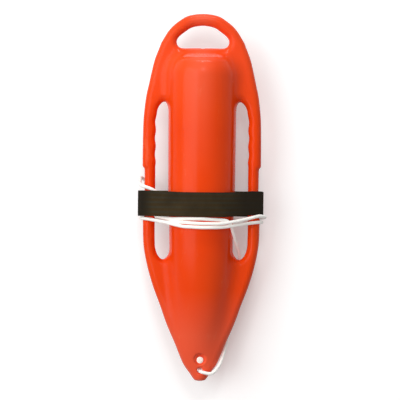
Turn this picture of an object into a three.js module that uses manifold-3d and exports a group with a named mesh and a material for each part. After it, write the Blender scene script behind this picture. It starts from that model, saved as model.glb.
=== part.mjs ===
// Rescue can buoy: a hollow moulded float with three grips, a wrapped shoulder strap and a wound tow line.
// It lies on its back. +X is right, +Y runs from the nose to the tail grip, +Z is up, z = 0 is the ground.
// Every length is in millimetres.

import * as THREE from 'three';
import { mergeVertices } from 'three/addons/utils/BufferGeometryUtils.js';
import Module from 'manifold-3d';

const wasm = await Module();
wasm.setup();

// Moulded shell: overall sizes
const bodyLength = 720;
const bodyWidth = 233.2;
const tubeWidth = 133.4;
const tubeDepth = 131.6;
const sheetThickness = 25;
const handleWidth = 25.4;
const tailBarWidth = 23.7;
const wallThickness = 3.4;
const blendReach = 20;

// Moulded shell: stretches along its length, from the tail bar to the nose
const loopLength = 45.8;
const loopWidth = 103;
const domeWall = 7.5;
const domeLength = 60;
const domeOverrun = 12;
const endLean = THREE.MathUtils.degToRad(13);
const ridgeRound = 10;
const tailWebLength = 100;
const noseWebLength = 236.5;
const tubeNoseInset = 8;
const slotHiddenEdge = 40;
const recessLength = 98;
const recessMargin = 2.7;
const recessDepth = 4;
const recessRamp = 6;
const gripTailInset = 27.5;
const gripNoseInset = 10;
const gripPitch = 32;
const gripDepth = 0.9;
const gripFade = 12;

// Inside of the shell
const cavityTailWall = 17.5;
const cavityNoseInset = 120;
const cavityNoseDome = 24;
const cavityTailDome = 44;

// Holes in the nose
const stopperHoleInset = 42;
const noseHoleSpacing = 22;
const noseHoleDiameter = 10.5;
const noseHoleMouth = 15;
const mouthDepth = 2.4;
const dishDiameter = 26;
const dishDepth = 6;
const dishFloorDiameter = 14;
const stopperSkin = 19;
const leadSkin = 16;

// Vent plug in the tail wall
const plugHeadDiameter = 9;
const plugHeadThickness = 2.2;
const plugStemDiameter = 7.4;
const plugStemLength = 11.6;
const plugRecess = 0.9;

// Shoulder strap
const webbingWidth = 50;
const webbingThickness = 2.4;
const strapY = -13.3;
const strapSlackRight = 4;
const strapStartRun = 17;
const strapEndX = -70;
const strapEndLift = THREE.MathUtils.degToRad(13);

// Ring and its tab
const ringWire = 4;
const ringBar = 30;
const ringLeg = 5;
const ringCorner = 4;
const tabWidth = 20;
const tabThickness = 1.6;
const tabLength = 32;

// Tow line
const lineDiameter = 6.4;
const laneGap = 0.45;
const eyeDiameter = 16;
const eyeLength = 20;
const eyeAngle = THREE.MathUtils.degToRad(55);
const whippingLength = 14;
const whippingThickness = 1.2;
const hitchExitBend = 9;
const hitchLift = 1.2;
const hitchTurn = THREE.MathUtils.degToRad(-13);
const washerDiameter = 12.7;
const washerThickness = 2;
const buttonDiameter = 9.4;
const buttonHeight = 1.9;
const washerBevelShare = 0.2;

// Clearance between pieces that touch, and overrun of cutting tools past a face
const seatGap = 0.3;
const overrun = 5;

// Depth of the flat that the strap's own weight presses into it on the ground
const restFlat = 0.5;

// Steps of the shell's mesh, and how far the rows past the sheet and the crown stand off them
const meshStep = { wide: 20, long: 15.5, middle: 12, handle: 6.4, fine: 7.6 };
const sheetRowShares = { reach: 1.36, step: 1.3 };
const crownRowShares = { below: 1.2, step: 1.5 };

// Faces round holes, turned pieces, the cavity and the line, and steps along the line's stretches
const holeSegments = 18;
const loftSides = 20;
const loftSteps = 13;
const lineSides = 8;
const windingSides = 6;
const hitchSteps = 30;
const lineEyeSteps = 40;
const leadSteps = 44;
const tailSteps = 34;

// Halves of the main sizes
const halfLength = bodyLength / 2;
const halfWidth = bodyWidth / 2;
const halfSheet = sheetThickness / 2;
const lineRadius = lineDiameter / 2;

// Places along the shell, worked out from its two ends and from the strap
const loopTailEnd = halfLength - tailBarWidth;
const loopNoseEnd = loopTailEnd - loopLength;
const domeEnd = loopNoseEnd - domeWall;
const cavityTailEnd = loopNoseEnd - cavityTailWall;
const slotTailEnd = loopNoseEnd - tailWebLength;
const slotNoseEnd = noseWebLength - halfLength;
const cavityNoseEnd = cavityNoseInset - halfLength;
const stopperHoleY = stopperHoleInset - halfLength;
const leadHoleY = stopperHoleY - noseHoleSpacing;
const tubeNoseEnd = tubeNoseInset - halfLength;
const recessNoseEnd = strapY - webbingWidth / 2 - recessMargin;
const recessTailEnd = recessNoseEnd + recessLength;
const gripNoseEnd = recessTailEnd + gripNoseInset;
const gripTailEnd = slotTailEnd - gripTailInset;

// Half of the plan outline from the tail to the nose: shares of the half width and the half length
const outlineShares = [
  [0, 1], [0.159, 0.9955], [0.28, 0.985], [0.399, 0.961], [0.496, 0.936], [0.587, 0.903],
  [0.652, 0.869], [0.705, 0.839], [0.734, 0.814], [0.765, 0.789], [0.815, 0.744], [0.862, 0.68],
  [0.906, 0.614], [0.949, 0.549], [0.975, 0.483], [0.992, 0.417], [1, 0.256], [0.998, 0.083],
  [0.991, -0.083], [0.985, -0.158], [0.971, -0.267], [0.909, -0.375], [0.809, -0.486], [0.683, -0.594],
  [0.561, -0.703], [0.404, -0.811], [0.256, -0.919], [0.14, -0.972], [0.077, -0.9934],
  [0, -1],
];

// Slot beside the tube: shares of the way from its hidden edge to the handle, and from its nose end
const slotShares = [
  [0, 0.903], [0, 0.45], [0, 0.091], [0.234, 0.024], [0.508, 0.005], [0.703, 0], [0.879, 0.027],
  [0.977, 0.072], [1, 0.132], [1, 0.49], [1, 0.865], [0.967, 0.922], [0.859, 0.966], [0.654, 1],
  [0.43, 0.987], [0.195, 0.954],
];

// Half of the tail grip's opening: shares of its half width, and of the way from its nose end
const loopShares = [
  [0, 1], [0.291, 0.967], [0.503, 0.884], [0.65, 0.766], [0.821, 0.622], [0.94, 0.491], [1, 0.349],
  [0.977, 0.186], [0.883, 0.059], [0.718, 0.004], [0.35, 0], [0, 0],
];

// Mouths of the nose holes: shares of the widening, and of the depth from the inside out
const mouthShares = [[0, 0], [0.33, 0.5], [1, 1]];
const dishShares = [[0, 0], [0.35, 0.3], [0.75, 0.72], [1, 1]];

// Turned pieces: shares of the radius and of the height
const plugStemShares = [[0, 0], [0.8, 0], [1, 0.3], [1, 1]];
const plugHeadShares = [[1, 0], [1, 0.7], [0.85, 1], [0, 1]];
const buttonShares = [[0, 0], [1, 0], [1, 0.5], [0.67, 1], [0, 0.8]];

// Tube along the length: share of the half length, then shares of the half width and half depth
const tubeShares = [
  [1, 1, 1], [0.417, 1, 1], [0.111, 0.99, 0.997], [-0.037, 0.981, 0.994], [-0.125, 0.952, 0.9635],
  [-0.214, 0.943, 0.948], [-0.306, 0.93, 0.927], [-0.417, 0.885, 0.866], [-0.556, 0.795, 0.745],
  [-0.694, 0.667, 0.578], [-0.833, 0.465, 0.357], [-0.903, 0.3, 0.213], [-0.958, 0.135, 0.137],
  [-1, 0.045, 0.09],
];

// Line round the waist, for each step of its turns: lane counted in line pitches from the strap's edge
// towards the nose, and lift off the belt path in line diameters
const laneShares = [
  [0, 0.83, 0], [2, 0.55, 0], [4, 0.58, 0], [5, 0.5, -0.62], [6, -1.2, 0], [8.5, -1.58, 0],
  [11, -1.2, 0], [12, 0.5, -0.62], [13, 0.62, 0], [16, 0.62, 0], [17, 1.48, 0], [21, 1.5, 0],
  [22, 1.93, 0.1], [23, 2.5, 0.5], [24, 2.93, 0.25], [26, 2.98, 0], [28, 2.72, 0.35], [29, 1.52, 0.6],
  [30, 0.7, 0], [35, 0.62, 0], [36, 1.4, 0.15], [37, 1.68, 0], [39, 1.72, 0], [40, 1.72, 0.76],
  [41, 0.4, 1.72], [43, 0, 1.52], [45, -0.26, 1.52], [46, 0.55, 1.2], [47, 1.3, 1.15], [48, 1.9, 0.6],
  [49, 1.9, 0.15], [50, 1.88, 0], [52, 1.6, 0],
];

// One turn of the line as a belt over three rollers: roller or straight run, and its steps
const turnParts = [
  { roller: 'tubeFront', steps: 4 }, { roller: null, steps: 2 }, { roller: 'left', steps: 5 },
  { roller: null, steps: 2 }, { roller: 'tubeBack', steps: 3 }, { roller: null, steps: 1 },
  { roller: 'right', steps: 4 }, { roller: null, steps: 3 },
];
const lastTurnStep = 52;

// Colours of the pieces
const finish = {
  shell: { color: 0xe8450f, roughness: 0.38, metalness: 0 },
  foam: { color: 0xe9dcb4, roughness: 0.95, metalness: 0 },
  plug: { color: 0xd6430b, roughness: 0.5, metalness: 0 },
  webbing: { color: 0x25221d, roughness: 0.85, metalness: 0 },
  steel: { color: 0xb9bcc0, roughness: 0.28, metalness: 1 },
  line: { color: 0xf4efe4, roughness: 0.8, metalness: 0 },
  nylon: { color: 0xf6f3ea, roughness: 0.45, metalness: 0 },
  twine: { color: 0xe6dcc4, roughness: 0.85, metalness: 0 },
};

const model = new THREE.Group();

function addPiece(name, geometry, look) {
  const mesh = new THREE.Mesh(geometry, new THREE.MeshStandardMaterial(look));
  mesh.name = name;
  model.add(mesh);
  return mesh;
}

// Joining and cutting

function toSolid(geometry) {
  const bare = geometry.clone();
  bare.deleteAttribute('normal');
  bare.deleteAttribute('uv');
  const merged = mergeVertices(bare);
  const corners = merged.index.array;
  const kept = [];
  for (let i = 0; i < corners.length; i += 3) {
    const [a, b, c] = [corners[i], corners[i + 1], corners[i + 2]];
    if (a !== b && b !== c && c !== a) kept.push(a, b, c);
  }
  const vertProperties = new Float32Array(merged.attributes.position.array);
  return new wasm.Manifold(new wasm.Mesh({ numProp: 3, vertProperties, triVerts: new Uint32Array(kept) }));
}

function toGeometry(solid) {
  const mesh = solid.getMesh();
  const geometry = new THREE.BufferGeometry();
  geometry.setAttribute('position', new THREE.BufferAttribute(new Float32Array(mesh.vertProperties), 3));
  geometry.setIndex(new THREE.BufferAttribute(new Uint32Array(mesh.triVerts), 1));
  return geometry;
}

function buildGeometry(points, triangles) {
  const geometry = new THREE.BufferGeometry();
  const places = points.flatMap((point) => point.toArray());
  geometry.setAttribute('position', new THREE.Float32BufferAttribute(places, 3));
  geometry.setIndex(triangles.flat());
  return geometry;
}

// A turned piece: its profile is radius and height, and it starts and ends on the axis
function turned(profile, segments) {
  const points = profile.map(([radius, height]) => new THREE.Vector2(radius, height));
  return new THREE.LatheGeometry(points, segments);
}

// Shape of the shell

// Half of a mirrored outline, as a fine line from the axis round one side and back to it
function mirroredHalf(rows, stepsPerRow) {
  const side = rows.map(([x, y]) => new THREE.Vector3(x, y, 0));
  const mirror = rows.slice(1, -1).reverse().map(([x, y]) => new THREE.Vector3(-x, y, 0));
  const curve = new THREE.CatmullRomCurve3([...side, ...mirror], true, 'centripetal');
  const count = (rows.length - 1) * stepsPerRow;
  return Array.from({ length: count + 1 }, (_, i) => curve.getPoint(i / count / 2));
}

function closedLine(rows, stepsPerRow) {
  const curve = new THREE.CatmullRomCurve3(
    rows.map(([x, y]) => new THREE.Vector3(x, y, 0)),
    true,
    'centripetal',
  );
  return curve.getPoints(rows.length * stepsPerRow);
}

const between = (from, to, share) => from + (to - from) * share;
function arcAngles(from, to, steps) {
  return Array.from({ length: steps + 1 }, (_, i) => between(from, to, i / steps));
}

const smoothStep = (from, to, value) => THREE.MathUtils.smoothstep(value, from, to);
const handleInnerEdge = halfWidth - handleWidth;

const outline = mirroredHalf(outlineShares.map(([x, y]) => [x * halfWidth, y * halfLength]), 4);
const tailLoop = mirroredHalf(
  loopShares.map(([x, y]) => [x * loopWidth / 2, between(loopNoseEnd, loopTailEnd, y)]),
  4,
);
const slot = closedLine(
  slotShares.map(([x, y]) => [
    between(slotHiddenEdge, handleInnerEdge, x),
    between(slotNoseEnd, slotTailEnd, y),
  ]),
  4,
);

// Distance in plan to a line, negative inside it. A ray towards +X counts the crossings.
function distanceToLine(line, x, y) {
  let nearest = Infinity;
  let inside = false;
  for (let i = 1; i < line.length; i += 1) {
    const from = line[i - 1];
    const alongX = line[i].x - from.x;
    const alongY = line[i].y - from.y;
    const reach = (x - from.x) * alongX + (y - from.y) * alongY;
    const share = THREE.MathUtils.clamp(reach / (alongX * alongX + alongY * alongY), 0, 1);
    nearest = Math.min(nearest, Math.hypot(x - from.x - share * alongX, y - from.y - share * alongY));
    const crosses = (from.y > y) !== (line[i].y > y);
    if (crosses && x < from.x + ((y - from.y) * alongX) / alongY) inside = !inside;
  }
  return inside ? -nearest : nearest;
}

// Shallow waves for the fingers on the inner edge of each handle
function gripWave(x, y) {
  const starts = smoothStep(gripNoseEnd - gripFade, gripNoseEnd, y);
  const stops = smoothStep(gripTailEnd, gripTailEnd + gripFade, y);
  const across = smoothStep((slotHiddenEdge + handleInnerEdge) / 2, handleInnerEdge, x);
  return gripDepth * starts * (1 - stops) * across * Math.cos((2 * Math.PI * (y - gripNoseEnd)) / gripPitch);
}

// Step in the outer edge of the handles, where the strap lies
function recess(y) {
  const rise = smoothStep(recessNoseEnd - recessRamp / 2, recessNoseEnd + recessRamp / 2, y);
  const fall = smoothStep(recessTailEnd - recessRamp / 2, recessTailEnd + recessRamp / 2, y);
  return recessDepth * (rise - fall);
}

function planDistance(x, y) {
  const side = Math.abs(x);
  return Math.max(
    distanceToLine(outline, side, y) + recess(y),
    -distanceToLine(slot, side, y) - gripWave(side, y),
    -distanceToLine(tailLoop, side, y),
  );
}

// Half width and half depth of the tube at a place along its length
function tubeRadii(y) {
  const place = THREE.MathUtils.clamp(y / halfLength, -1, 1);
  let row = 0;
  while (row < tubeShares.length - 2 && tubeShares[row + 1][0] > place) row += 1;
  const rowAt = (index) => tubeShares[THREE.MathUtils.clamp(index, 0, tubeShares.length - 1)];
  const [before, start, end, after] = [rowAt(row - 1), rowAt(row), rowAt(row + 1), rowAt(row + 2)];
  const span = end[0] - start[0];
  const t = (place - start[0]) / span;
  const share = (column) => {
    const startSlope = row > 0 ? (end[column] - before[column]) / (end[0] - before[0]) : 0;
    const endSlope = (after[column] - start[column]) / (after[0] - start[0]);
    return (2 * t ** 3 - 3 * t ** 2 + 1) * start[column] + (t ** 3 - 2 * t ** 2 + t) * span * startSlope
      + (3 * t ** 2 - 2 * t ** 3) * end[column] + (t ** 3 - t ** 2) * span * endSlope;
  };
  return { across: (share(1) * tubeWidth) / 2, deep: (share(2) * tubeDepth) / 2 };
}

function smoothUnion(a, b, reach) {
  const share = THREE.MathUtils.clamp(0.5 + (b - a) / reach / 2, 0, 1);
  return between(b, a, share) - reach * share * (1 - share);
}

// The tube's tail end is a long dome, cut off by two faces that lean back above and below the sheet
function tubeDistance(x, y, z) {
  const { across, deep } = tubeRadii(y);
  const dome = Math.max(0, (y - domeEnd - domeOverrun + domeLength) / domeLength);
  const skin = (Math.hypot(x / across, z / deep, dome) - 1) * Math.min(across, deep);
  const endFace = (y - domeEnd) * Math.cos(endLean) + Math.abs(z) * Math.sin(endLean);
  return Math.max(-smoothUnion(-skin, -endFace, ridgeRound), tubeNoseEnd - y);
}

// The sheet that holds the handles, the webs and the tail grip has a fully rounded rim
function shellDistance(x, y, z, plan = planDistance(x, y)) {
  const sheet = Math.hypot(Math.max(plan + halfSheet, 0), z) - halfSheet;
  return smoothUnion(sheet, tubeDistance(x, y, z), blendReach);
}

// Lines of the mesh's grid: each span ends at a place and is cut in even steps near a wished size
function gridLines(start, spans) {
  const lines = [start];
  for (const [end, step] of spans) {
    const from = lines[lines.length - 1];
    const count = Math.max(1, Math.round((end - from) / step));
    for (let i = 1; i <= count; i += 1) lines.push(between(from, end, i / count));
  }
  return lines;
}

const mirrorLines = (lines) => [...lines.slice(1).reverse().map((value) => -value), ...lines];

const gridX = mirrorLines(gridLines(0, [
  [tubeWidth / 4, meshStep.long],
  [(tubeWidth / 2 + handleInnerEdge) / 2, meshStep.middle],
  [handleInnerEdge - meshStep.handle / 2, meshStep.middle],
  [halfWidth + meshStep.handle / 2, meshStep.handle],
]));
const gridZ = mirrorLines(gridLines(0, [
  [halfSheet * sheetRowShares.reach, meshStep.handle * sheetRowShares.step],
  [tubeDepth / 2 - meshStep.handle / 2, meshStep.middle * crownRowShares.below],
  [tubeDepth / 2 + meshStep.handle, meshStep.handle * crownRowShares.step],
]));
const gridY = gridLines(-halfLength - meshStep.fine / 2, [
  [stopperHoleY + dishDiameter, meshStep.fine],
  [slotNoseEnd - meshStep.long, meshStep.wide],
  [slotNoseEnd + meshStep.wide, meshStep.fine],
  [recessNoseEnd - recessRamp, meshStep.long],
  [recessNoseEnd + recessRamp, recessRamp],
  [recessTailEnd - recessRamp, meshStep.wide],
  [recessTailEnd + recessRamp, recessRamp],
  [gripTailEnd, gripPitch / 3],
  [slotTailEnd + meshStep.fine, meshStep.fine],
  [domeEnd - domeLength / 2, meshStep.long],
  [halfLength + meshStep.fine / 2, meshStep.fine],
]);

// Share of a cell, along each side, that its vertex keeps out of
const cellRimShare = 0.05;

// Settling a vertex: probe as a share of the handle's mesh step, least slope squared, and rounds
const probeShare = 0.01;
const leastSlopeShare = 0.01;
const settleRounds = 4;

// One vertex in each grid cell that the surface crosses, and one face over each grid edge that it crosses
function surfaceMesh(lines, valueAt) {
  const [xs, ys, zs] = lines;
  const counts = lines.map((list) => list.length);
  const strides = [1, counts[0], counts[0] * counts[1]];
  const values = new Float64Array(counts[0] * counts[1] * counts[2]);
  for (let j = 0; j < counts[1]; j += 1) {
    for (let i = 0; i < counts[0]; i += 1) {
      const plan = planDistance(xs[i], ys[j]);
      for (let k = 0; k < counts[2]; k += 1) {
        values[i + j * strides[1] + k * strides[2]] = valueAt(xs[i], ys[j], zs[k], plan);
      }
    }
  }
  const points = [];
  const cellPoint = new Map();
  for (let k = 0; k < counts[2] - 1; k += 1) {
    for (let j = 0; j < counts[1] - 1; j += 1) {
      for (let i = 0; i < counts[0] - 1; i += 1) {
        const crossings = cellCrossings(lines, values, strides, [i, j, k]);
        if (crossings.length === 0) continue;
        const middle = new THREE.Vector3();
        crossings.forEach((crossing) => middle.addScaledVector(crossing, 1 / crossings.length));
        const low = new THREE.Vector3(xs[i], ys[j], zs[k]);
        const high = new THREE.Vector3(xs[i + 1], ys[j + 1], zs[k + 1]);
        const rim = high.clone().sub(low).multiplyScalar(cellRimShare);
        cellPoint.set(i + j * strides[1] + k * strides[2], points.length);
        points.push(settleOnSurface(middle, low.add(rim), high.sub(rim), valueAt));
      }
    }
  }
  const triangles = [];
  for (let axis = 0; axis < 3; axis += 1) {
    const [u, v] = [(axis + 1) % 3, (axis + 2) % 3];
    for (let k = axis === 2 ? 0 : 1; k < counts[2] - 1; k += 1) {
      for (let j = axis === 1 ? 0 : 1; j < counts[1] - 1; j += 1) {
        for (let i = axis === 0 ? 0 : 1; i < counts[0] - 1; i += 1) {
          const node = i + j * strides[1] + k * strides[2];
          const inside = values[node] < 0;
          if (inside === values[node + strides[axis]] < 0) continue;
          const cells = [node, node - strides[u], node - strides[u] - strides[v], node - strides[v]];
          const corners = cells.map((cell) => cellPoint.get(cell));
          triangles.push(...splitFace(points, inside ? corners : corners.reverse()));
        }
      }
    }
  }
  return buildGeometry(points, triangles);
}

// Points where the surface crosses the twelve edges of a cell
function cellCrossings(lines, values, strides, cell) {
  const found = [];
  for (let axis = 0; axis < 3; axis += 1) {
    const [u, v] = [(axis + 1) % 3, (axis + 2) % 3];
    for (const [stepU, stepV] of [[0, 0], [1, 0], [0, 1], [1, 1]]) {
      const corner = [...cell];
      corner[u] += stepU;
      corner[v] += stepV;
      const node = corner[0] + corner[1] * strides[1] + corner[2] * strides[2];
      const from = values[node];
      const to = values[node + strides[axis]];
      if (from < 0 === to < 0) continue;
      const place = corner.map((index, direction) => lines[direction][index]);
      place[axis] = between(place[axis], lines[axis][corner[axis] + 1], from / (from - to));
      found.push(new THREE.Vector3(...place));
    }
  }
  return found;
}

function settleOnSurface(point, low, high, valueAt) {
  const probe = meshStep.handle * probeShare;
  for (let round = 0; round < settleRounds; round += 1) {
    const value = valueAt(point.x, point.y, point.z);
    const slope = new THREE.Vector3(
      valueAt(point.x + probe, point.y, point.z) - value,
      valueAt(point.x, point.y + probe, point.z) - value,
      valueAt(point.x, point.y, point.z + probe) - value,
    ).divideScalar(probe);
    point.addScaledVector(slope, -value / Math.max(slope.lengthSq(), leastSlopeShare));
    point.clamp(low, high);
  }
  return point;
}

function splitFace(points, [a, b, c, d]) {
  const straight = points[a].distanceTo(points[c]) <= points[b].distanceTo(points[d]);
  return straight ? [[a, b, c], [a, c, d]] : [[a, b, d], [b, c, d]];
}

// A long body of oval sections, closed at both ends, inside the tube's wall by an inset
function insideLoft(inset) {
  const sides = loftSides;
  const rows = loftSteps;
  const noseEnd = cavityNoseEnd + inset - wallThickness;
  const tailEnd = cavityTailEnd - inset + wallThickness;
  const points = [];
  for (let row = 0; row <= rows; row += 1) {
    const y = between(noseEnd, tailEnd, (1 - Math.cos((Math.PI * (row + 0.5)) / (rows + 1))) / 2);
    const { across, deep } = tubeRadii(y);
    const past = Math.max(0, (noseEnd - y) / cavityNoseDome + 1, (y - tailEnd) / cavityTailDome + 1);
    const round = Math.sqrt(1 - past * past);
    for (let side = 0; side < sides; side += 1) {
      const angle = (2 * Math.PI * side) / sides;
      points.push(new THREE.Vector3(
        Math.cos(angle) * (across - inset) * round,
        y,
        Math.sin(angle) * (deep - inset) * round,
      ));
    }
  }
  const triangles = [];
  for (let row = 0; row < rows; row += 1) {
    for (let side = 0; side < sides; side += 1) {
      const a = row * sides + side;
      const b = row * sides + ((side + 1) % sides);
      triangles.push([a, b + sides, b], [a, a + sides, b + sides]);
    }
  }
  const nose = points.push(new THREE.Vector3(0, noseEnd, 0)) - 1;
  const tail = points.push(new THREE.Vector3(0, tailEnd, 0)) - 1;
  for (let side = 0; side < sides; side += 1) {
    const next = (side + 1) % sides;
    triangles.push([nose, side, next]);
    triangles.push([tail, rows * sides + next, rows * sides + side]);
  }
  return buildGeometry(points, triangles);
}

// The middle plane of the shell stands above the ground by the tube and the strap under it
const strapPly = webbingThickness * 2 + seatGap;
const waistRadii = tubeRadii(strapY + webbingWidth / 2);
const waistRadius = Math.max(waistRadii.across, waistRadii.deep);
const axisHeight = waistRadius + seatGap + strapPly - restFlat;

// Mouth of a nose hole: it opens from the bore to a wider rim at the skin
function noseMouth(boreDiameter, rimDiameter, depth, skin, shares) {
  return [
    ...shares.map(([wide, high]) => [
      between(boreDiameter, rimDiameter, wide) / 2,
      between(skin - depth, skin, high),
    ]),
    [rimDiameter / 2, skin + overrun],
    [0, skin + overrun],
  ];
}

// Nose hole straight through, with a plain mouth at the back and one of its own at the front
function noseHole(y, skin, frontMouth) {
  const back = noseMouth(noseHoleDiameter, noseHoleMouth, mouthDepth, skin, mouthShares)
    .map(([radius, height]) => [radius, -height])
    .reverse();
  const cutter = turned([...back, ...frontMouth], holeSegments);
  cutter.rotateX(Math.PI / 2);
  cutter.translate(0, y, 0);
  return toSolid(cutter);
}

const leadMouth = noseMouth(noseHoleDiameter, noseHoleMouth, mouthDepth, leadSkin, mouthShares);
const dishFloor = stopperSkin - dishDepth;
const stopperMouth = [
  [noseHoleDiameter / 2, dishFloor],
  ...noseMouth(dishFloorDiameter, dishDiameter, dishDepth, stopperSkin, dishShares),
];

// Bore for the vent plug, from the cavity out to the face of the tail wall
const plugSeatY = loopNoseEnd - plugRecess - plugHeadThickness - seatGap;
function ventBore() {
  const stem = plugStemDiameter / 2 + seatGap;
  const head = plugHeadDiameter / 2 + seatGap;
  return toSolid(turned([
    [0, cavityTailEnd - overrun],
    [stem, cavityTailEnd - overrun],
    [stem, plugSeatY],
    [head, plugSeatY],
    [head, loopNoseEnd + overrun],
    [0, loopNoseEnd + overrun],
  ], holeSegments));
}

function mouldedShell() {
  const outside = toSolid(surfaceMesh([gridX, gridY, gridZ], shellDistance));
  const cuts = [
    toSolid(insideLoft(wallThickness)),
    noseHole(stopperHoleY, stopperSkin, stopperMouth),
    noseHole(leadHoleY, leadSkin, leadMouth),
    ventBore(),
  ];
  return toGeometry(cuts.reduce((body, cut) => body.subtract(cut), outside));
}

addPiece('moulded_shell', mouldedShell().translate(0, 0, axisHeight), finish.shell);
addPiece('foam_core', insideLoft(wallThickness + seatGap).translate(0, 0, axisHeight), finish.foam);

function ventPlug() {
  const seat = plugSeatY + seatGap;
  const stem = plugStemShares.map(([radius, height]) => [
    (radius * plugStemDiameter) / 2,
    between(seat - plugStemLength, seat, height),
  ]);
  const head = plugHeadShares.map(([radius, height]) => [
    (radius * plugHeadDiameter) / 2,
    seat + height * plugHeadThickness,
  ]);
  return turned([...stem, ...head], holeSegments);
}

addPiece('vent_plug', ventPlug().translate(0, 0, axisHeight), finish.plug);

// Belt path round the waist, seen from the nose: x and height above the shell's middle plane.
// An angle of zero looks up from the tube, and it grows towards the left handle.

const handleRollerX = halfWidth - recessDepth - halfSheet;
const facing = (angle) => new THREE.Vector2(-Math.sin(angle), Math.cos(angle));

// Angle at which a belt leaves the tube for a handle
const beltLean = (tubeRadius, handleRadius) => Math.asin((tubeRadius - handleRadius) / handleRollerX);

function rollerPoint(centreX, radius, angle) {
  return facing(angle).multiplyScalar(radius).add(new THREE.Vector2(centreX, 0));
}

// Corners of a belt's arc, whose chords just touch the round of the given radius
function arcPoints(centreX, radius, from, to, steps) {
  const cornerRadius = radius / Math.cos((to - from) / steps / 2);
  return arcAngles(from, to, steps).map((angle) => rollerPoint(centreX, cornerRadius, angle));
}

// Shoulder strap: a closed loop of webbing laid flat, so two plies with a fold at each end.
// It starts on the back at the left, goes round the left handle, the front, the right handle and the
// back, and ends on top of its own start.

const strapRadius = waistRadius + seatGap + strapPly / 2;
const strapLeftRadius = halfSheet + seatGap + lineDiameter + seatGap + strapPly / 2;
const strapRightRadius = halfSheet + strapSlackRight + strapPly / 2;
const leanLeft = beltLean(strapRadius, strapLeftRadius);
const leanRight = beltLean(strapRadius, strapRightRadius);

const strapStart = rollerPoint(0, strapRadius, Math.PI - leanLeft)
  .addScaledVector(facing(Math.PI / 2 - leanLeft), strapStartRun);
const strapEndAngle = -Math.PI - leanLeft + strapEndLift;
const strapEndAlong = new THREE.Vector2(Math.cos(strapEndAngle), Math.sin(strapEndAngle));
const strapEndOut = facing(strapEndAngle);
const strapLeaves = rollerPoint(0, strapRadius, strapEndAngle);
const strapEnd = strapLeaves.clone()
  .addScaledVector(strapEndAlong, (strapEndX - strapLeaves.x) / strapEndAlong.x);

const handleBendSteps = 9;
const tubeBendSteps = 8;
const foldSteps = 6;
const slitSteps = 2;
const strapLine = [
  strapStart,
  ...arcPoints(-handleRollerX, strapLeftRadius, Math.PI - leanLeft, leanLeft, handleBendSteps),
  ...arcPoints(0, strapRadius, leanLeft, -leanRight, tubeBendSteps),
  ...arcPoints(handleRollerX, strapRightRadius, -leanRight, leanRight - Math.PI, handleBendSteps),
  ...arcPoints(0, strapRadius, leanRight - Math.PI, strapEndAngle, tubeBendSteps),
  strapEnd,
];

// A line moved sideways in its plane; positive is out from the tube
function offsetLine(line, distance) {
  return line.map((point, i) => {
    const along = line[Math.min(i + 1, line.length - 1)].clone().sub(line[Math.max(i - 1, 0)]).normalize();
    return new THREE.Vector2(-along.y, along.x).multiplyScalar(distance).add(point);
  });
}

// Outline of a band with round ends along a line
function bandOutline(line, halfThickness, capSteps) {
  const outer = offsetLine(line, halfThickness);
  const inner = offsetLine(line, -halfThickness).reverse();
  const cap = (centre, from) => {
    const spoke = from.clone().sub(centre);
    return Array.from({ length: capSteps - 1 }, (_, i) => spoke.clone()
      .rotateAround(new THREE.Vector2(), (-Math.PI * (i + 1)) / capSteps)
      .add(centre));
  };
  return [
    ...outer,
    ...cap(line[line.length - 1], outer[outer.length - 1]),
    ...inner,
    ...cap(line[0], inner[inner.length - 1]),
  ];
}

// An outline in x and height, drawn out along Y round a middle place
function extrudedAcross(shape, width, middleY) {
  const geometry = new THREE.ExtrudeGeometry(shape, { depth: width, bevelEnabled: false });
  geometry.rotateX(Math.PI / 2);
  geometry.translate(0, middleY + width / 2, axisHeight);
  return geometry;
}

function shoulderStrap() {
  const shape = new THREE.Shape(bandOutline(strapLine, strapPly / 2, foldSteps));
  shape.holes.push(new THREE.Path(bandOutline(strapLine, seatGap / 2, slitSteps).reverse()));
  const ground = new THREE.BoxGeometry(bodyWidth, webbingWidth + overrun, overrun);
  ground.translate(0, strapY, -overrun / 2);
  return toGeometry(toSolid(extrudedAcross(shape, webbingWidth, strapY)).subtract(toSolid(ground)));
}

addPiece('shoulder_strap', shoulderStrap(), finish.webbing);

// Tab and ring on the strap's outer end. Their places run along the strap's end and out from it.

const tabPly = tabThickness * 2 + seatGap;
const tabEyeHole = ringWire / 2 + seatGap;
const tabEyeRadius = tabEyeHole + tabThickness;
const tabEyeRun = strapPly / 2 + seatGap + tabEyeRadius;
const tabRise = strapPly / 2 + seatGap + tabPly / 2;
const onStrapEnd = (run, rise) => strapEnd.clone()
  .addScaledVector(strapEndAlong, run)
  .addScaledVector(strapEndOut, rise);

function ringTab() {
  const neck = Math.asin(tabPly / 2 / tabEyeRadius);
  const tabEyeSteps = 14;
  const eye = arcAngles(neck - Math.PI, Math.PI - neck, tabEyeSteps).map((angle) => onStrapEnd(
    tabEyeRun + Math.cos(angle) * tabEyeRadius,
    tabRise + Math.sin(angle) * tabEyeRadius,
  ));
  const shape = new THREE.Shape([
    onStrapEnd(-tabLength, tabRise - tabPly / 2),
    ...eye,
    onStrapEnd(-tabLength, tabRise + tabPly / 2),
  ]);
  const bar = onStrapEnd(tabEyeRun, tabRise);
  shape.holes.push(new THREE.Path().absarc(bar.x, bar.y, tabEyeHole, 0, Math.PI * 2));
  return extrudedAcross(shape, tabWidth, strapY);
}

addPiece('ring_tab', ringTab(), finish.webbing);

// Frame of the ring: x runs from the bar to the bow, y along the bar, z out from the strap
const barPlace = onStrapEnd(tabEyeRun, tabRise);
const ringFrame = new THREE.Matrix4().makeBasis(
  new THREE.Vector3(strapEndAlong.x, 0, strapEndAlong.y),
  new THREE.Vector3(0, 1, 0),
  new THREE.Vector3(-strapEndAlong.y, 0, strapEndAlong.x),
).setPosition(barPlace.x, strapY, barPlace.y + axisHeight);

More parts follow.
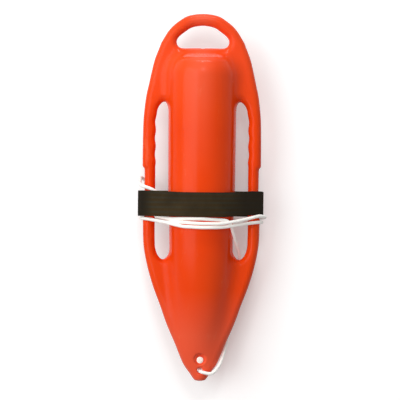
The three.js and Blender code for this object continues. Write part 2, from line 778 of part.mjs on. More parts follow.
// A closed tube round a flat loop of points
function closedTube(points, radius, sides) {
  const vertices = [];
  const triangles = [];
  points.forEach((point, i) => {
    const before = points[(i + points.length - 1) % points.length];
    const after = points[(i + 1) % points.length];
    const along = after.clone().sub(before).normalize();
    const out = new THREE.Vector3(along.y, -along.x, 0);
    for (let side = 0; side < sides; side += 1) {
      const angle = (2 * Math.PI * side) / sides;
      vertices.push(point.clone().addScaledVector(out, radius * Math.cos(angle))
        .add(new THREE.Vector3(0, 0, radius * Math.sin(angle))));
      const a = i * sides + side;
      const b = i * sides + ((side + 1) % sides);
      const next = (((i + 1) % points.length) - i) * sides;
      triangles.push([a, b + next, b], [a, a + next, b + next]);
    }
  });
  return buildGeometry(vertices, triangles);
}

function strapRing() {
  const half = ringBar / 2;
  const arc = (centreX, centreY, radius, from, to, steps) => arcAngles(from, to, steps)
    .map((angle) => new THREE.Vector3(centreX, centreY, 0)
      .add(new THREE.Vector3(Math.cos(angle), Math.sin(angle), 0).multiplyScalar(radius)));
  const loop = [
    ...arc(ringCorner, half - ringCorner, ringCorner, Math.PI, Math.PI / 2, 3),
    ...arc(ringLeg, 0, half, Math.PI / 2, -Math.PI / 2, 12),
    ...arc(ringCorner, ringCorner - half, ringCorner, -Math.PI / 2, -Math.PI, 3),
  ];
  return closedTube(loop, ringWire / 2, 8).applyMatrix4(ringFrame);
}

addPiece('strap_ring', strapRing(), finish.steel);

// Tow line

// A tube of round section along a smooth line through points
function lineTube(points, steps) {
  const section = new THREE.Shape(Array.from({ length: lineSides }, (_, i) => {
    const angle = (2 * Math.PI * (i + 0.5)) / lineSides;
    return new THREE.Vector2(Math.cos(angle) * lineRadius, Math.sin(angle) * lineRadius);
  }));
  const path = new THREE.CatmullRomCurve3(points, false, 'centripetal');
  return new THREE.ExtrudeGeometry(section, { steps, extrudePath: path, bevelEnabled: false });
}

// Frame at the line's eye on the ring's bow: x runs away from the bar, y along the bow, z out from the strap
const eyeInner = (eyeDiameter - lineDiameter) / 2;
const eyeCentreRun = eyeInner - ringWire / 2 - seatGap;
const eyeFrame = ringFrame.clone()
  .multiply(new THREE.Matrix4().makeTranslation(ringLeg, 0, 0))
  .multiply(new THREE.Matrix4().makeRotationZ(eyeAngle))
  .multiply(new THREE.Matrix4().makeTranslation(ringBar / 2 + eyeCentreRun, 0, 0));
const onEye = (run, rise) => new THREE.Vector3(run, 0, rise).applyMatrix4(eyeFrame);
const legRise = lineRadius + seatGap / 2;

function towlineEye() {
  const turn = (2 * Math.PI) / 3;
  const eyeBends = 8;
  const loop = arcAngles(Math.PI - turn, Math.PI + turn, eyeBends)
    .map((angle) => onEye((Math.cos(angle) * eyeDiameter) / 2, (Math.sin(angle) * eyeDiameter) / 2));
  const leg = (run, side) => onEye(run, side * legRise);
  const legs = [eyeLength, eyeLength - lineRadius, eyeLength - lineDiameter];
  return lineTube([
    ...legs.map((run) => leg(run, 1)),
    ...loop,
    ...legs.reverse().map((run) => leg(run, -1)),
  ], lineEyeSteps);
}

addPiece('towline_eye', towlineEye(), finish.line);

// The binding that closes the eye: an oval sleeve round both legs
const whippingStart = eyeLength + seatGap;
function eyeWhipping() {
  const section = new THREE.Shape().absellipse(
    0,
    0,
    lineRadius + whippingThickness,
    lineDiameter + seatGap / 2 + whippingThickness,
    0,
    Math.PI * 2,
  );
  const sleeve = new THREE.ExtrudeGeometry(section, {
    depth: whippingLength,
    bevelEnabled: false,
    curveSegments: lineSides,
  });
  const frame = new THREE.Matrix4().makeBasis(
    new THREE.Vector3(0, -1, 0),
    new THREE.Vector3(0, 0, 1),
    new THREE.Vector3(-1, 0, 0),
  );
  frame.premultiply(new THREE.Matrix4().makeTranslation(whippingStart + whippingLength, 0, 0));
  return sleeve.applyMatrix4(frame.premultiply(eyeFrame));
}

addPiece('eye_whipping', eyeWhipping(), finish.twine);

// Winding: each vertex lies on one roller, or on the straight run between two
const lineLean = beltLean(tubeRadii(strapY - webbingWidth / 2 - lineDiameter).across, halfSheet);
const rollers = {
  tubeFront: { side: 0, from: -lineLean, to: lineLean },
  left: { side: -1, from: lineLean, to: Math.PI - lineLean },
  tubeBack: { side: 0, from: Math.PI - lineLean, to: Math.PI + lineLean },
  right: { side: 1, from: Math.PI + lineLean, to: Math.PI * 2 - lineLean },
};

// Value of a lane column at a step, eased between its rows
function laneValue(step, column) {
  const after = Math.max(1, laneShares.findIndex((row) => row[0] >= step));
  const [from, to] = [laneShares[after - 1], laneShares[after]];
  return between(from[column], to[column], smoothStep(from[0], to[0], step));
}

function windingY(step) {
  return strapY - webbingWidth / 2 - laneValue(step, 1) * (lineDiameter + laneGap);
}

function onRoller(roller, angle, step, arcStep) {
  const y = windingY(step);
  const handleX = halfWidth - planDistance(halfWidth, y) - halfSheet;
  const surface = roller.side === 0 ? tubeRadii(y).across : halfSheet;
  const radius = surface + seatGap + lineRadius + laneValue(step, 2) * lineDiameter;
  return rollerPoint(roller.side * handleX, radius / Math.cos(arcStep / 2), angle);
}

function windingPoint(step) {
  const turnSteps = turnParts.reduce((sum, part) => sum + part.steps, 0);
  let left = step % turnSteps;
  let index = 0;
  while (left > turnParts[index].steps) {
    left -= turnParts[index].steps;
    index += 1;
  }
  const part = turnParts[index];
  const share = left / part.steps;
  const roller = rollers[part.roller];
  const placed = (point, angle) => ({
    place: new THREE.Vector3(point.x, windingY(step), point.y + axisHeight),
    out: facing(angle),
  });
  if (roller) {
    const angle = between(roller.from, roller.to, share);
    return placed(onRoller(roller, angle, step, (roller.to - roller.from) / part.steps), angle);
  }
  const before = rollers[turnParts[index - 1].roller];
  const after = rollers[turnParts[(index + 1) % turnParts.length].roller];
  const start = onRoller(before, before.to, step, 0);
  return placed(start.lerp(onRoller(after, after.from, step, 0), share), before.to);
}

const winding = Array.from({ length: lastTurnStep + 1 }, (_, step) => windingPoint(step));

// One unbroken tube along the winding, with a flat side towards what it lies on
function windingTube() {
  const sides = windingSides;
  const vertices = [];
  const triangles = [];
  winding.forEach(({ place, out }, i) => {
    const before = winding[Math.max(i - 1, 0)].place;
    const after = winding[Math.min(i + 1, winding.length - 1)].place;
    const along = after.clone().sub(before).normalize();
    const side = along.clone().cross(new THREE.Vector3(out.x, 0, out.y)).normalize();
    const up = side.clone().cross(along);
    for (let corner = 0; corner < sides; corner += 1) {
      const angle = (2 * Math.PI * (corner + 0.5)) / sides;
      vertices.push(place.clone()
        .addScaledVector(up, Math.cos(angle) * lineRadius)
        .addScaledVector(side, Math.sin(angle) * lineRadius));
      if (i === winding.length - 1) continue;
      const a = i * sides + corner;
      const b = i * sides + ((corner + 1) % sides);
      triangles.push([a, b, b + sides], [a, b + sides, a + sides]);
    }
  });
  for (let corner = 1; corner < sides - 1; corner += 1) {
    const last = (winding.length - 1) * sides;
    triangles.push([0, corner + 1, corner], [last, last + corner, last + corner + 1]);
  }
  return buildGeometry(vertices, triangles);
}

addPiece('towline_winding', windingTube(), finish.line);

// A point given from the shell's middle plane
const onShell = (x, y, z) => new THREE.Vector3(x, y, z + axisHeight);

// The stretch held in the nose: a button on the washer, down one hole, up the other and over its lip
const hitchBend = (stopperHoleY - leadHoleY) / 2;
const hitchTurnZ = -stopperSkin + mouthDepth + seatGap;
const washerTop = dishFloor + seatGap + washerThickness;
const hitchExitZ = leadSkin + lineRadius + hitchLift;
const hitchAlong = new THREE.Vector3(Math.cos(hitchTurn), Math.sin(hitchTurn), 0);
const hitchExit = onShell(0, leadHoleY, hitchExitZ).addScaledVector(hitchAlong, hitchExitBend);

function towlineHitch() {
  const buttonBottom = washerTop + seatGap;
  const turnBends = 8;
  const turn = arcAngles(0, -Math.PI, turnBends).map((angle) => onShell(
    0,
    stopperHoleY + hitchBend * (Math.cos(angle) - 1),
    hitchTurnZ + hitchBend * Math.sin(angle),
  ));
  const overLip = arcAngles(Math.PI, Math.PI / 2, turnBends / 2).map((angle) => onShell(
    0,
    leadHoleY,
    hitchExitZ + hitchExitBend * (Math.sin(angle) - 1),
  ).addScaledVector(hitchAlong, hitchExitBend * (Math.cos(angle) + 1)));
  const held = lineTube([
    onShell(0, stopperHoleY, buttonBottom + buttonHeight / 2),
    onShell(0, stopperHoleY, buttonBottom - lineDiameter),
    ...turn,
    onShell(0, leadHoleY, (hitchExitZ - hitchExitBend + hitchTurnZ) / 2),
    ...overLip,
    hitchExit.clone().addScaledVector(hitchAlong, lineRadius),
  ], hitchSteps);
  const button = turned(buttonShares.map(([radius, height]) => [
    (radius * buttonDiameter) / 2,
    buttonBottom + height * buttonHeight,
  ]), holeSegments);
  button.rotateX(Math.PI / 2);
  button.translate(0, stopperHoleY, axisHeight);
  return toGeometry(toSolid(held).add(toSolid(button)));
}

addPiece('towline_hitch', towlineHitch(), finish.line);

function stopperWasher() {
  const hole = lineRadius + seatGap;
  const bottom = dishFloor + seatGap;
  const bevel = washerThickness * washerBevelShare;
  const washer = turned([
    [hole, bottom],
    [washerDiameter / 2, bottom],
    [washerDiameter / 2, washerTop - bevel],
    [washerDiameter / 2 - bevel, washerTop],
    [hole, washerTop],
    [hole, bottom],
  ], holeSegments);
  washer.rotateX(Math.PI / 2);
  return washer.translate(0, stopperHoleY, axisHeight);
}

addPiece('stopper_washer', stopperWasher(), finish.nylon);

// Route of the line from the nose, behind the shell and up through the right slot to the winding
const leadRoute = [
  [22.1, -343.5, 19.4], [27.9, -340.3, 16.6], [32.3, -336, 13.3], [36.7, -330.3, 9], [40.8, -322.5, 4.8],
  [44.4, -313, 0.8], [47.5, -303, -3.4], [50.3, -292, -8], [52.8, -278, -13], [56, -258, -17.8],
  [62, -220, -20.8], [69.5, -172, -20.5], [74.5, -136, -19.5], [76.3, -117, -15.5], [73.2, -104, -5],
  [69, -91, 8], [64.6, -77, 20], [61.2, -66, 28.8], [58.4, -57.5, 35.4], [54.5, -51, 41.6],
  [49.5, -46, 49],
];

// Route of the line from the winding, under the strap at the left and round the handle to the eye
const tailRoute = [
  [-50, -48.8, 47.2], [-58, -47.8, 37.4], [-66.5, -44, 27], [-73, -37, 20], [-78, -24, 15.5],
  [-80.5, -10, 14], [-82.5, -1, 14.5], [-87, 7, 17], [-95.5, 13.5, 18.8], [-107, 18, 17],
  [-116.3, 21.2, 9.6], [-120.6, 24.6, -1], [-121.2, 28.4, -10.5], [-121.2, 32.6, -20],
  [-121, 36.1, -28.7], [-120.1, 37.5, -34.5], [-117.8, 36.6, -40.1], [-114.7, 33.6, -44.3],
];

// A free stretch between two ends, each square to its neighbour and straight for half a diameter
function freeStretch(start, startAlong, route, end, endAlong, steps) {
  const from = start.clone().addScaledVector(startAlong, seatGap);
  const to = end.clone().addScaledVector(endAlong, -seatGap);
  return lineTube([
    from,
    from.clone().addScaledVector(startAlong, lineRadius),
    ...route.map(([x, y, z]) => onShell(x, y, z)),
    to.clone().addScaledVector(endAlong, -lineRadius),
    to,
  ], steps);
}

const windingStart = winding[0].place;
const windingStartAlong = winding[1].place.clone().sub(windingStart).normalize();
const windingEnd = winding[lastTurnStep].place;
const windingEndAlong = windingEnd.clone().sub(winding[lastTurnStep - 1].place).normalize();
const whippingEnd = onEye(whippingStart + whippingLength, 0);
const whippingAlong = whippingEnd.clone().sub(onEye(whippingStart, 0)).normalize();

addPiece('towline_lead', freeStretch(
  hitchExit.clone().addScaledVector(hitchAlong, lineRadius),
  hitchAlong,
  leadRoute,
  windingStart,
  windingStartAlong,
  leadSteps,
), finish.line);
addPiece('towline_tail', freeStretch(
  windingEnd,
  windingEndAlong,
  tailRoute,
  whippingEnd,
  whippingAlong.clone().negate(),
  tailSteps,
), finish.line);

// Least gap between stretches of the winding that aren't neighbours along it
function windingLeastGap() {
  const finePoints = [];
  const samples = 12;
  const neighbourShare = 6;
  let run = 0;
  for (let i = 1; i < winding.length; i += 1) {
    for (let sample = 0; sample < samples; sample += 1) {
      const place = winding[i - 1].place.clone().lerp(winding[i].place, sample / samples);
      if (finePoints.length > 0) run += place.distanceTo(finePoints[finePoints.length - 1].place);
      finePoints.push({ place, run });
    }
  }
  let least = Infinity;
  for (const one of finePoints) {
    for (const other of finePoints) {
      if (other.run - one.run < lineDiameter * neighbourShare) continue;
      least = Math.min(least, one.place.distanceTo(other.place) - lineDiameter);
    }
  }
  return least;
}

console.log(`Least gap of the winding to itself: ${windingLeastGap().toFixed(2)} mm`);

export default model;
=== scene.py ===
# %% [markdown]
# ## A rescue can buoy, finished around its CAD frame
# The frame holds every piece at its real size and place. This script gives each of them its fine shape and
# its finish: a moulded plastic float, a webbing strap wrapped round its waist, and a braided tow line that
# starts in the nose, is wound beside the strap and ends in an eye on a steel ring.
# All lengths are in metres. +X is right, +Y runs from the nose to the tail grip, and +Z is up.

# %% Load the frame and keep its box
import math

import bpy
import numpy as np
from mathutils import Matrix, Vector


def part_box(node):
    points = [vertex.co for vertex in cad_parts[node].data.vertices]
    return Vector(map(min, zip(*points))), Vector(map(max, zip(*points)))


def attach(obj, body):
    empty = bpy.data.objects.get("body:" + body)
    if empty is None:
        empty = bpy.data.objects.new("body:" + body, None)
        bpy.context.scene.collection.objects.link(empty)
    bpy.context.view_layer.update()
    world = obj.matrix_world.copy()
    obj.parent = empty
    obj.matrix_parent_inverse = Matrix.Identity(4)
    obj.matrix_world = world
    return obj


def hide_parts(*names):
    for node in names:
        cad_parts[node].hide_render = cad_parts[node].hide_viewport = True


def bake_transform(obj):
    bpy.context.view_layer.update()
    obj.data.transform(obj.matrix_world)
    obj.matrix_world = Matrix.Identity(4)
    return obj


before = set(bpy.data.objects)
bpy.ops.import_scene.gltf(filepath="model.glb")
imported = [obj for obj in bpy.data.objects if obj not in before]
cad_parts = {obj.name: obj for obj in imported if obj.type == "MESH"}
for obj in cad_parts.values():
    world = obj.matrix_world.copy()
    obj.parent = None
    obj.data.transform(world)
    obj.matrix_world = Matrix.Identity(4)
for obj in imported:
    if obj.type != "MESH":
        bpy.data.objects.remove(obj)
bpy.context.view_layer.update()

# %% [markdown]
# ### Camera
# The photograph looks straight down on the float, which lies turned a little clockwise. A long lens far away
# keeps the sides parallel, as they are there. The strap's known width gives the size of a pixel, so the
# view's side in metres sets the lens, and no trial is needed.

# %% Camera straight above the float
photo_side_px = 400
metres_per_px = 0.00196
frame_origin_px = (201.45, 196.9)
photo_turn = math.radians(0.55)
camera_distance = 2.7
sensor_mm = 36

shell_low, shell_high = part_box("moulded_shell")
middle_height = (shell_low.z + shell_high.z) / 2
camera_data = bpy.data.cameras.new("photo_camera")
camera_data.sensor_width = sensor_mm
camera_data.lens = sensor_mm * camera_distance / (photo_side_px * metres_per_px)
camera = bpy.data.objects.new("photo_camera", camera_data)
camera.location = (
    (photo_side_px / 2 - frame_origin_px[0]) * metres_per_px,
    (frame_origin_px[1] - photo_side_px / 2) * metres_per_px,
    middle_height + camera_distance,
)
camera.rotation_euler = (0, 0, photo_turn)
bpy.context.scene.collection.objects.link(camera)
bpy.context.scene.camera = camera
bpy.context.scene.view_settings.view_transform = "Standard"
print(f"camera: lens {camera_data.lens:.0f} mm, {camera_distance} m above the float's middle")

# %% [markdown]
# ### Sizes
# Most surfaces here touch another one, so they are worked out from the same few sizes. The tables hold
# shares of those sizes, chosen on the photograph, and a smooth curve runs through them.

# %% Sizes of the moulding
body_length = 0.720
body_width = 0.2332
tube_width = 0.1334
tube_depth = 0.1316
sheet_thickness = 0.025
handle_width = 0.0254
tail_bar_width = 0.0237
blend_reach = 0.020
loop_length = 0.0458
loop_width = 0.103
dome_wall = 0.0075
dome_length = 0.060
dome_overrun = 0.012
end_lean = math.radians(13)
ridge_round = 0.010
tail_web_length = 0.100
nose_web_length = 0.2365
tube_nose_inset = 0.008
slot_hidden_edge = 0.040
recess_length = 0.098
recess_margin = 0.0027
recess_depth = 0.004
recess_ramp = 0.006
grip_tail_inset = 0.0275
grip_nose_inset = 0.010
grip_pitch = 0.032
grip_depth = 0.0009
grip_fade = 0.012

# %% Sizes of the strap, the ring and the line
webbing_width = 0.050
webbing_thickness = 0.0024
strap_y = -0.0133
strap_slack_right = 0.004
strap_start_run = 0.017
strap_end_x = -0.070
strap_end_lift = math.radians(13)
ring_wire = 0.004
ring_bar = 0.030
ring_leg = 0.005
ring_corner = 0.004
tab_width = 0.020
tab_thickness = 0.0016
tab_length = 0.032
line_diameter = 0.0064
lane_gap = 0.00045
eye_diameter = 0.016
eye_length = 0.020
eye_angle = math.radians(55)
whipping_length = 0.014
whipping_thickness = 0.0012
seat_gap = 0.0003
rest_flat = 0.0005

half_length = body_length / 2
half_width = body_width / 2
half_sheet = sheet_thickness / 2
line_radius = line_diameter / 2

# %% Places along the moulding
loop_tail_end = half_length - tail_bar_width
loop_nose_end = loop_tail_end - loop_length
dome_end = loop_nose_end - dome_wall
slot_tail_end = loop_nose_end - tail_web_length
slot_nose_end = nose_web_length - half_length
tube_nose_end = tube_nose_inset - half_length
recess_nose_end = strap_y - webbing_width / 2 - recess_margin
recess_tail_end = recess_nose_end + recess_length
grip_nose_end = recess_tail_end + grip_nose_inset
grip_tail_end = slot_tail_end - grip_tail_inset
handle_inner_edge = half_width - handle_width

outline_shares = [
    (0, 1), (0.159, 0.9955), (0.28, 0.985), (0.399, 0.961), (0.496, 0.936), (0.587, 0.903),
    (0.652, 0.869), (0.705, 0.839), (0.734, 0.814), (0.765, 0.789), (0.815, 0.744), (0.862, 0.68),
    (0.906, 0.614), (0.949, 0.549), (0.975, 0.483), (0.992, 0.417), (1, 0.256), (0.998, 0.083),
    (0.991, -0.083), (0.985, -0.158), (0.971, -0.267), (0.909, -0.375), (0.809, -0.486),
    (0.683, -0.594), (0.561, -0.703), (0.404, -0.811), (0.256, -0.919), (0.14, -0.972),
    (0.1, -0.9865), (0.055, -0.9965), (0, -1),
]
slot_shares = [
    (0, 0.903), (0, 0.45), (0, 0.091), (0.234, 0.024), (0.508, 0.005), (0.703, 0), (0.879, 0.027),
    (0.977, 0.072), (1, 0.132), (1, 0.49), (1, 0.865), (0.967, 0.922), (0.859, 0.966), (0.654, 1),
    (0.43, 0.987), (0.195, 0.954),
]
loop_shares = [
    (0, 1), (0.291, 0.967), (0.503, 0.884), (0.65, 0.766), (0.821, 0.622), (0.94, 0.491), (1, 0.349),
    (0.977, 0.186), (0.883, 0.059), (0.718, 0.004), (0.35, 0), (0, 0),
]
tube_shares = np.array([
    (1, 1, 1), (0.417, 1, 1), (0.111, 0.99, 0.997), (-0.037, 0.981, 0.994), (-0.125, 0.952, 0.9635),
    (-0.214, 0.943, 0.948), (-0.306, 0.93, 0.927), (-0.417, 0.885, 0.866), (-0.556, 0.795, 0.745),
    (-0.694, 0.667, 0.578), (-0.833, 0.465, 0.357), (-0.903, 0.3, 0.213), (-0.958, 0.135, 0.137),
    (-1, 0.045, 0.09),
])
print(f"moulding: {body_length} m long, {body_width} m wide")

# %% [markdown]
# ### One smooth curve for everything
# A Catmull-Rom curve passes through all of its points. The centripetal kind takes bends without loops or
# bulges, so the same helper draws the outline of the moulding and the route of the line.


# %% Curve helpers
def between(low, high, share):
    return low + (high - low) * share


def ease(low, high, value):
    """0 below low, 1 above high, and a smooth step between them."""
    share = np.clip((value - low) / (high - low), 0, 1)
    return share * share * (3 - 2 * share)


def smooth_curve(points, places, closed=False):
    """Points of a centripetal Catmull-Rom curve at places from 0 to 1 along it."""
    points = np.asarray(points, float)
    if closed:
        padded = np.concatenate([points[-1:], points, points[:2]])
    else:
        before, after = 2 * points[:1] - points[1:2], 2 * points[-1:] - points[-2:-1]
        padded = np.concatenate([before, points, after])
    spans = len(padded) - 3
    along = np.asarray(places) * spans
    index = np.minimum(along.astype(int), spans - 1)
    t = (along - index)[:, None]
    p0, p1, p2, p3 = (padded[index + shift] for shift in range(4))
    d0, d1, d2 = (np.sqrt(np.linalg.norm(b - a, axis=1))[:, None] for a, b in ((p0, p1), (p1, p2), (p2, p3)))
    start = ((p1 - p0) / d0 - (p2 - p0) / (d0 + d1) + (p2 - p1) / d1) * d1
    end = ((p2 - p1) / d1 - (p3 - p1) / (d1 + d2) + (p3 - p2) / d2) * d1
    return p1 + start * t + (3 * (p2 - p1) - 2 * start - end) * t**2 + (2 * (p1 - p2) + start + end) * t**3


def even_points(points, step, closed=False):
    """The line again, with points an even step apart."""
    points = np.asarray(points, float)
    if closed:
        points = np.concatenate([points, points[:1]])
    run = np.concatenate([[0], np.cumsum(np.linalg.norm(np.diff(points, axis=0), axis=1))])
    at = np.linspace(0, run[-1], max(2, round(run[-1] / step) + 1))
    even = np.stack([np.interp(at, run, points[:, k]) for k in range(points.shape[1])], axis=1)
    return even[:-1] if closed else even


def smooth_line(points, step):
    """An open smooth curve through points, in even steps."""
    samples_per_span = 24
    count = (len(points) - 1) * samples_per_span + 1
    return even_points(smooth_curve(points, np.linspace(0, 1, count)), step)


# %% [markdown]
# ### Shape of the moulding
# The float is a tube joined to a thick sheet that has a rounded rim, with slots and a tail opening cut
# through. Such a shape is easy to say as a distance: how far a point lies outside the skin. Two distances
# join with a soft fillet, and a hole is the distance turned inside out. The line needs the same numbers
# to lie on the skin, so the formula comes first and the mesh later.


# %% Distances that describe the moulding
steps_per_row = 12


def half_outline(rows):
    """One side of a mirrored outline, from the axis and back to it."""
    mirrored = [(-x, y) for x, y in rows[-2:0:-1]]
    count = (len(rows) - 1) * steps_per_row
    return smooth_curve([*rows, *mirrored], np.linspace(0, 0.5, count + 1), closed=True)


outline = half_outline([(x * half_width, y * half_length) for x, y in outline_shares])
tail_loop = half_outline([
    (x * loop_width / 2, between(loop_nose_end, loop_tail_end, y)) for x, y in loop_shares
])
slot = smooth_curve(
    [
        (between(slot_hidden_edge, handle_inner_edge, x), between(slot_nose_end, slot_tail_end, y))
        for x, y in slot_shares
    ],
    np.linspace(0, 1, len(slot_shares) * steps_per_row + 1),
    closed=True,
)


def line_distance(line, x, y):
    """Distance in plan to a line, negative inside it."""
    nearest = np.full(np.shape(x), np.inf)
    inside = np.zeros(np.shape(x), bool)
    for (x0, y0), (x1, y1) in zip(line[:-1], line[1:]):
        run, rise = x1 - x0, y1 - y0
        share = np.clip(((x - x0) * run + (y - y0) * rise) / (run**2 + rise**2), 0, 1)
        nearest = np.minimum(nearest, np.hypot(x - between(x0, x1, share), y - between(y0, y1, share)))
        if y0 != y1:
            inside ^= ((y0 > y) != (y1 > y)) & (x < between(x0, x1, (y - y0) / (y1 - y0)))
    return np.where(inside, -nearest, nearest)


def grip_wave(x, y):
    """Shallow waves for the fingers on the inner edge of each handle."""
    starts = ease(grip_nose_end - grip_fade, grip_nose_end, y)
    stops = ease(grip_tail_end, grip_tail_end + grip_fade, y)
    across = ease((slot_hidden_edge + handle_inner_edge) / 2, handle_inner_edge, x)
    return grip_depth * starts * (1 - stops) * across * np.cos(math.tau * (y - grip_nose_end) / grip_pitch)


def recess(y):
    """Step in the outer edge of the handles, where the strap lies."""
    rise = ease(recess_nose_end - recess_ramp / 2, recess_nose_end + recess_ramp / 2, y)
    fall = ease(recess_tail_end - recess_ramp / 2, recess_tail_end + recess_ramp / 2, y)
    return recess_depth * (rise - fall)


def plan_distance(x, y):
    side = np.abs(x)
    return np.maximum.reduce([
        line_distance(outline, side, y) + recess(y),
        -line_distance(slot, side, y) - grip_wave(side, y),
        -line_distance(tail_loop, side, y),
    ])


slope_ends = np.concatenate([tube_shares[2:], tube_shares[-1:]]) - tube_shares[:-1]
tube_slopes = np.concatenate([[[0, 0]], slope_ends[:, 1:] / slope_ends[:, :1]])


def tube_radii(y):
    """Half width and half depth of the tube at places along its length."""
    place = np.clip(np.asarray(y, float) / half_length, -1, 1)[..., None]
    row = np.minimum((tube_shares[1:, 0] > place).sum(-1), len(tube_shares) - 2)
    start, end = tube_shares[row], tube_shares[row + 1]
    span = end[..., :1] - start[..., :1]
    t = (place - start[..., :1]) / span
    share = (
        (2 * t**3 - 3 * t**2 + 1) * start[..., 1:] + (t**3 - 2 * t**2 + t) * span * tube_slopes[row]
        + (3 * t**2 - 2 * t**3) * end[..., 1:] + (t**3 - t**2) * span * tube_slopes[row + 1]
    )
    return share[..., 0] * tube_width / 2, share[..., 1] * tube_depth / 2


waist_radius = max(float(radius) for radius in tube_radii(strap_y + webbing_width / 2))
strap_ply = webbing_thickness * 2 + seat_gap
axis_height = waist_radius + seat_gap + strap_ply - rest_flat
print(f"middle plane of the moulding: {axis_height:.5f} m above the ground, by its box {middle_height:.5f} m")

# %% [markdown]
# ### Route of the tow line
# The line leaves the lower nose hole, runs behind the float, comes up through the right slot and goes twice
# round the waist beside the strap. From there it dives under the strap and round the left handle to its
# ring. The free stretches are listed points. The turns are a belt over three rollers, which are the
# two handles and the tube, with a lane beside the strap and a lift where a turn lies on another.

# %% Belt helpers
lane_shares = np.array([
    (0, 0.83, 0), (2, 0.55, 0), (4, 0.58, 0), (5, 0.5, -0.62), (6, -1.2, 0), (8.5, -1.58, 0),
    (11, -1.2, 0), (12, 0.5, -0.62), (13, 0.62, 0), (16, 0.62, 0), (17, 1.48, 0), (21, 1.5, 0),
    (22, 1.93, 0.1), (23, 2.5, 0.5), (24, 2.93, 0.25), (26, 2.98, 0), (28, 2.72, 0.35), (29, 1.52, 0.6),
    (30, 0.7, 0), (35, 0.62, 0), (36, 1.4, 0.15), (37, 1.68, 0), (39, 1.72, 0), (40, 1.72, 0.76),
    (41, 0.4, 1.72), (43, 0, 1.52), (45, -0.26, 1.52), (46, 0.55, 1.2), (47, 1.3, 1.15), (48, 1.9, 0.6),
    (49, 1.9, 0.15), (50, 1.88, 0), (52, 1.6, 0),
])
turn_parts = [
    ("tube_front", 4), (None, 2), ("left", 5), (None, 2),
    ("tube_back", 3), (None, 1), ("right", 4), (None, 3),
]
handle_roller_x = half_width - recess_depth - half_sheet


def facing(angle):
    """Direction across the float, as x and height: zero looks up, and it grows towards the left handle."""
    return np.array([-math.sin(angle), math.cos(angle)])


def roller_point(centre_x, radius, angle):
    return facing(angle) * radius + np.array([centre_x, 0])


def belt_lean(tube_radius, handle_radius):
    return math.asin((tube_radius - handle_radius) / handle_roller_x)


line_lean = belt_lean(float(tube_radii(strap_y - webbing_width / 2 - line_diameter)[0]), half_sheet)
rollers = {
    "tube_front": (0, -line_lean, line_lean),
    "left": (-1, line_lean, math.pi - line_lean),
    "tube_back": (0, math.pi - line_lean, math.pi + line_lean),
    "right": (1, math.pi + line_lean, math.tau - line_lean),
}


# %% The turns round the waist
def lane_value(step, column):
    after = max(1, int(np.argmax(lane_shares[:, 0] >= step)))
    start, end = lane_shares[after - 1], lane_shares[after]
    return between(start[column], end[column], float(ease(start[0], end[0], step)))


winding_steps = range(int(lane_shares[-1, 0]) + 1)
winding_y = np.array([
    strap_y - webbing_width / 2 - lane_value(step, 1) * (line_diameter + lane_gap) for step in winding_steps
])
winding_handle_x = half_width - plan_distance(np.full(len(winding_y), half_width), winding_y) - half_sheet


def on_roller(roller, angle, step):
    side = rollers[roller][0]
    surface = half_sheet if side else float(tube_radii(winding_y[step])[0])
    radius = surface + seat_gap + line_radius + lane_value(step, 2) * line_diameter
    return roller_point(side * winding_handle_x[step], radius, angle)


def winding_point(step):
    left, index = step % sum(steps for _, steps in turn_parts), 0
    while left > turn_parts[index][1]:
        left -= turn_parts[index][1]
        index += 1
    roller, steps = turn_parts[index]
    if roller:
        _, start, end = rollers[roller]
        x, height = on_roller(roller, between(start, end, left / steps), step)
    else:
        before, after = turn_parts[index - 1][0], turn_parts[(index + 1) % len(turn_parts)][0]
        leaves = on_roller(before, rollers[before][2], step)
        meets = on_roller(after, rollers[after][1], step)
        x, height = between(leaves, meets, left / steps)
    return np.array([x, winding_y[step], height + axis_height])


winding = np.array([winding_point(step) for step in winding_steps])
print(f"winding: {len(winding)} points from {np.round(winding[0], 4)} to {np.round(winding[-1], 4)}")

# %% Where the strap's outer end, the ring and the eye lie
strap_radius = waist_radius + seat_gap + strap_ply / 2
strap_left_radius = half_sheet + seat_gap + line_diameter + seat_gap + strap_ply / 2
strap_right_radius = half_sheet + strap_slack_right + strap_ply / 2
lean_left = belt_lean(strap_radius, strap_left_radius)
lean_right = belt_lean(strap_radius, strap_right_radius)
strap_end_angle = -math.pi - lean_left + strap_end_lift
strap_end_along = np.array([math.cos(strap_end_angle), math.sin(strap_end_angle)])
strap_end_out = facing(strap_end_angle)
strap_leaves = roller_point(0, strap_radius, strap_end_angle)
strap_end = strap_leaves + strap_end_along * (strap_end_x - strap_leaves[0]) / strap_end_along[0]

tab_ply = tab_thickness * 2 + seat_gap
tab_eye_hole = ring_wire / 2 + seat_gap
tab_eye_radius = tab_eye_hole + tab_thickness
tab_eye_run = strap_ply / 2 + seat_gap + tab_eye_radius
tab_rise = strap_ply / 2 + seat_gap + tab_ply / 2


def on_strap_end(run, rise, across=0.0):
    """A point by its run past the strap's end, its rise out from it and its place across it."""
    x, height = strap_end + strap_end_along * run + strap_end_out * rise
    return Vector((x, strap_y + across, height + axis_height))


ring_frame = Matrix((
    (strap_end_along[0], 0, -strap_end_along[1]),
    (0, 1, 0),
    (strap_end_along[1], 0, strap_end_along[0]),
)).to_4x4()
ring_frame.translation = on_strap_end(tab_eye_run, tab_rise)
eye_centre_run = (eye_diameter - line_diameter) / 2 - ring_wire / 2 - seat_gap
eye_frame = (
    ring_frame @ Matrix.Translation((ring_leg, 0, 0)) @ Matrix.Rotation(eye_angle, 4, "Z")
    @ Matrix.Translation((ring_bar / 2 + eye_centre_run, 0, 0))
)
whipping_start = eye_length + seat_gap
whipping_end = np.array(eye_frame @ Vector((whipping_start + whipping_length, 0, 0)))
whipping_along = whipping_end - np.array(eye_frame @ Vector((whipping_start, 0, 0)))
whipping_along /= np.linalg.norm(whipping_along)
bar_place = np.array(ring_frame.translation)
print("ring: bar at", np.round(bar_place, 4), "and the line meets it at", np.round(whipping_end, 4))

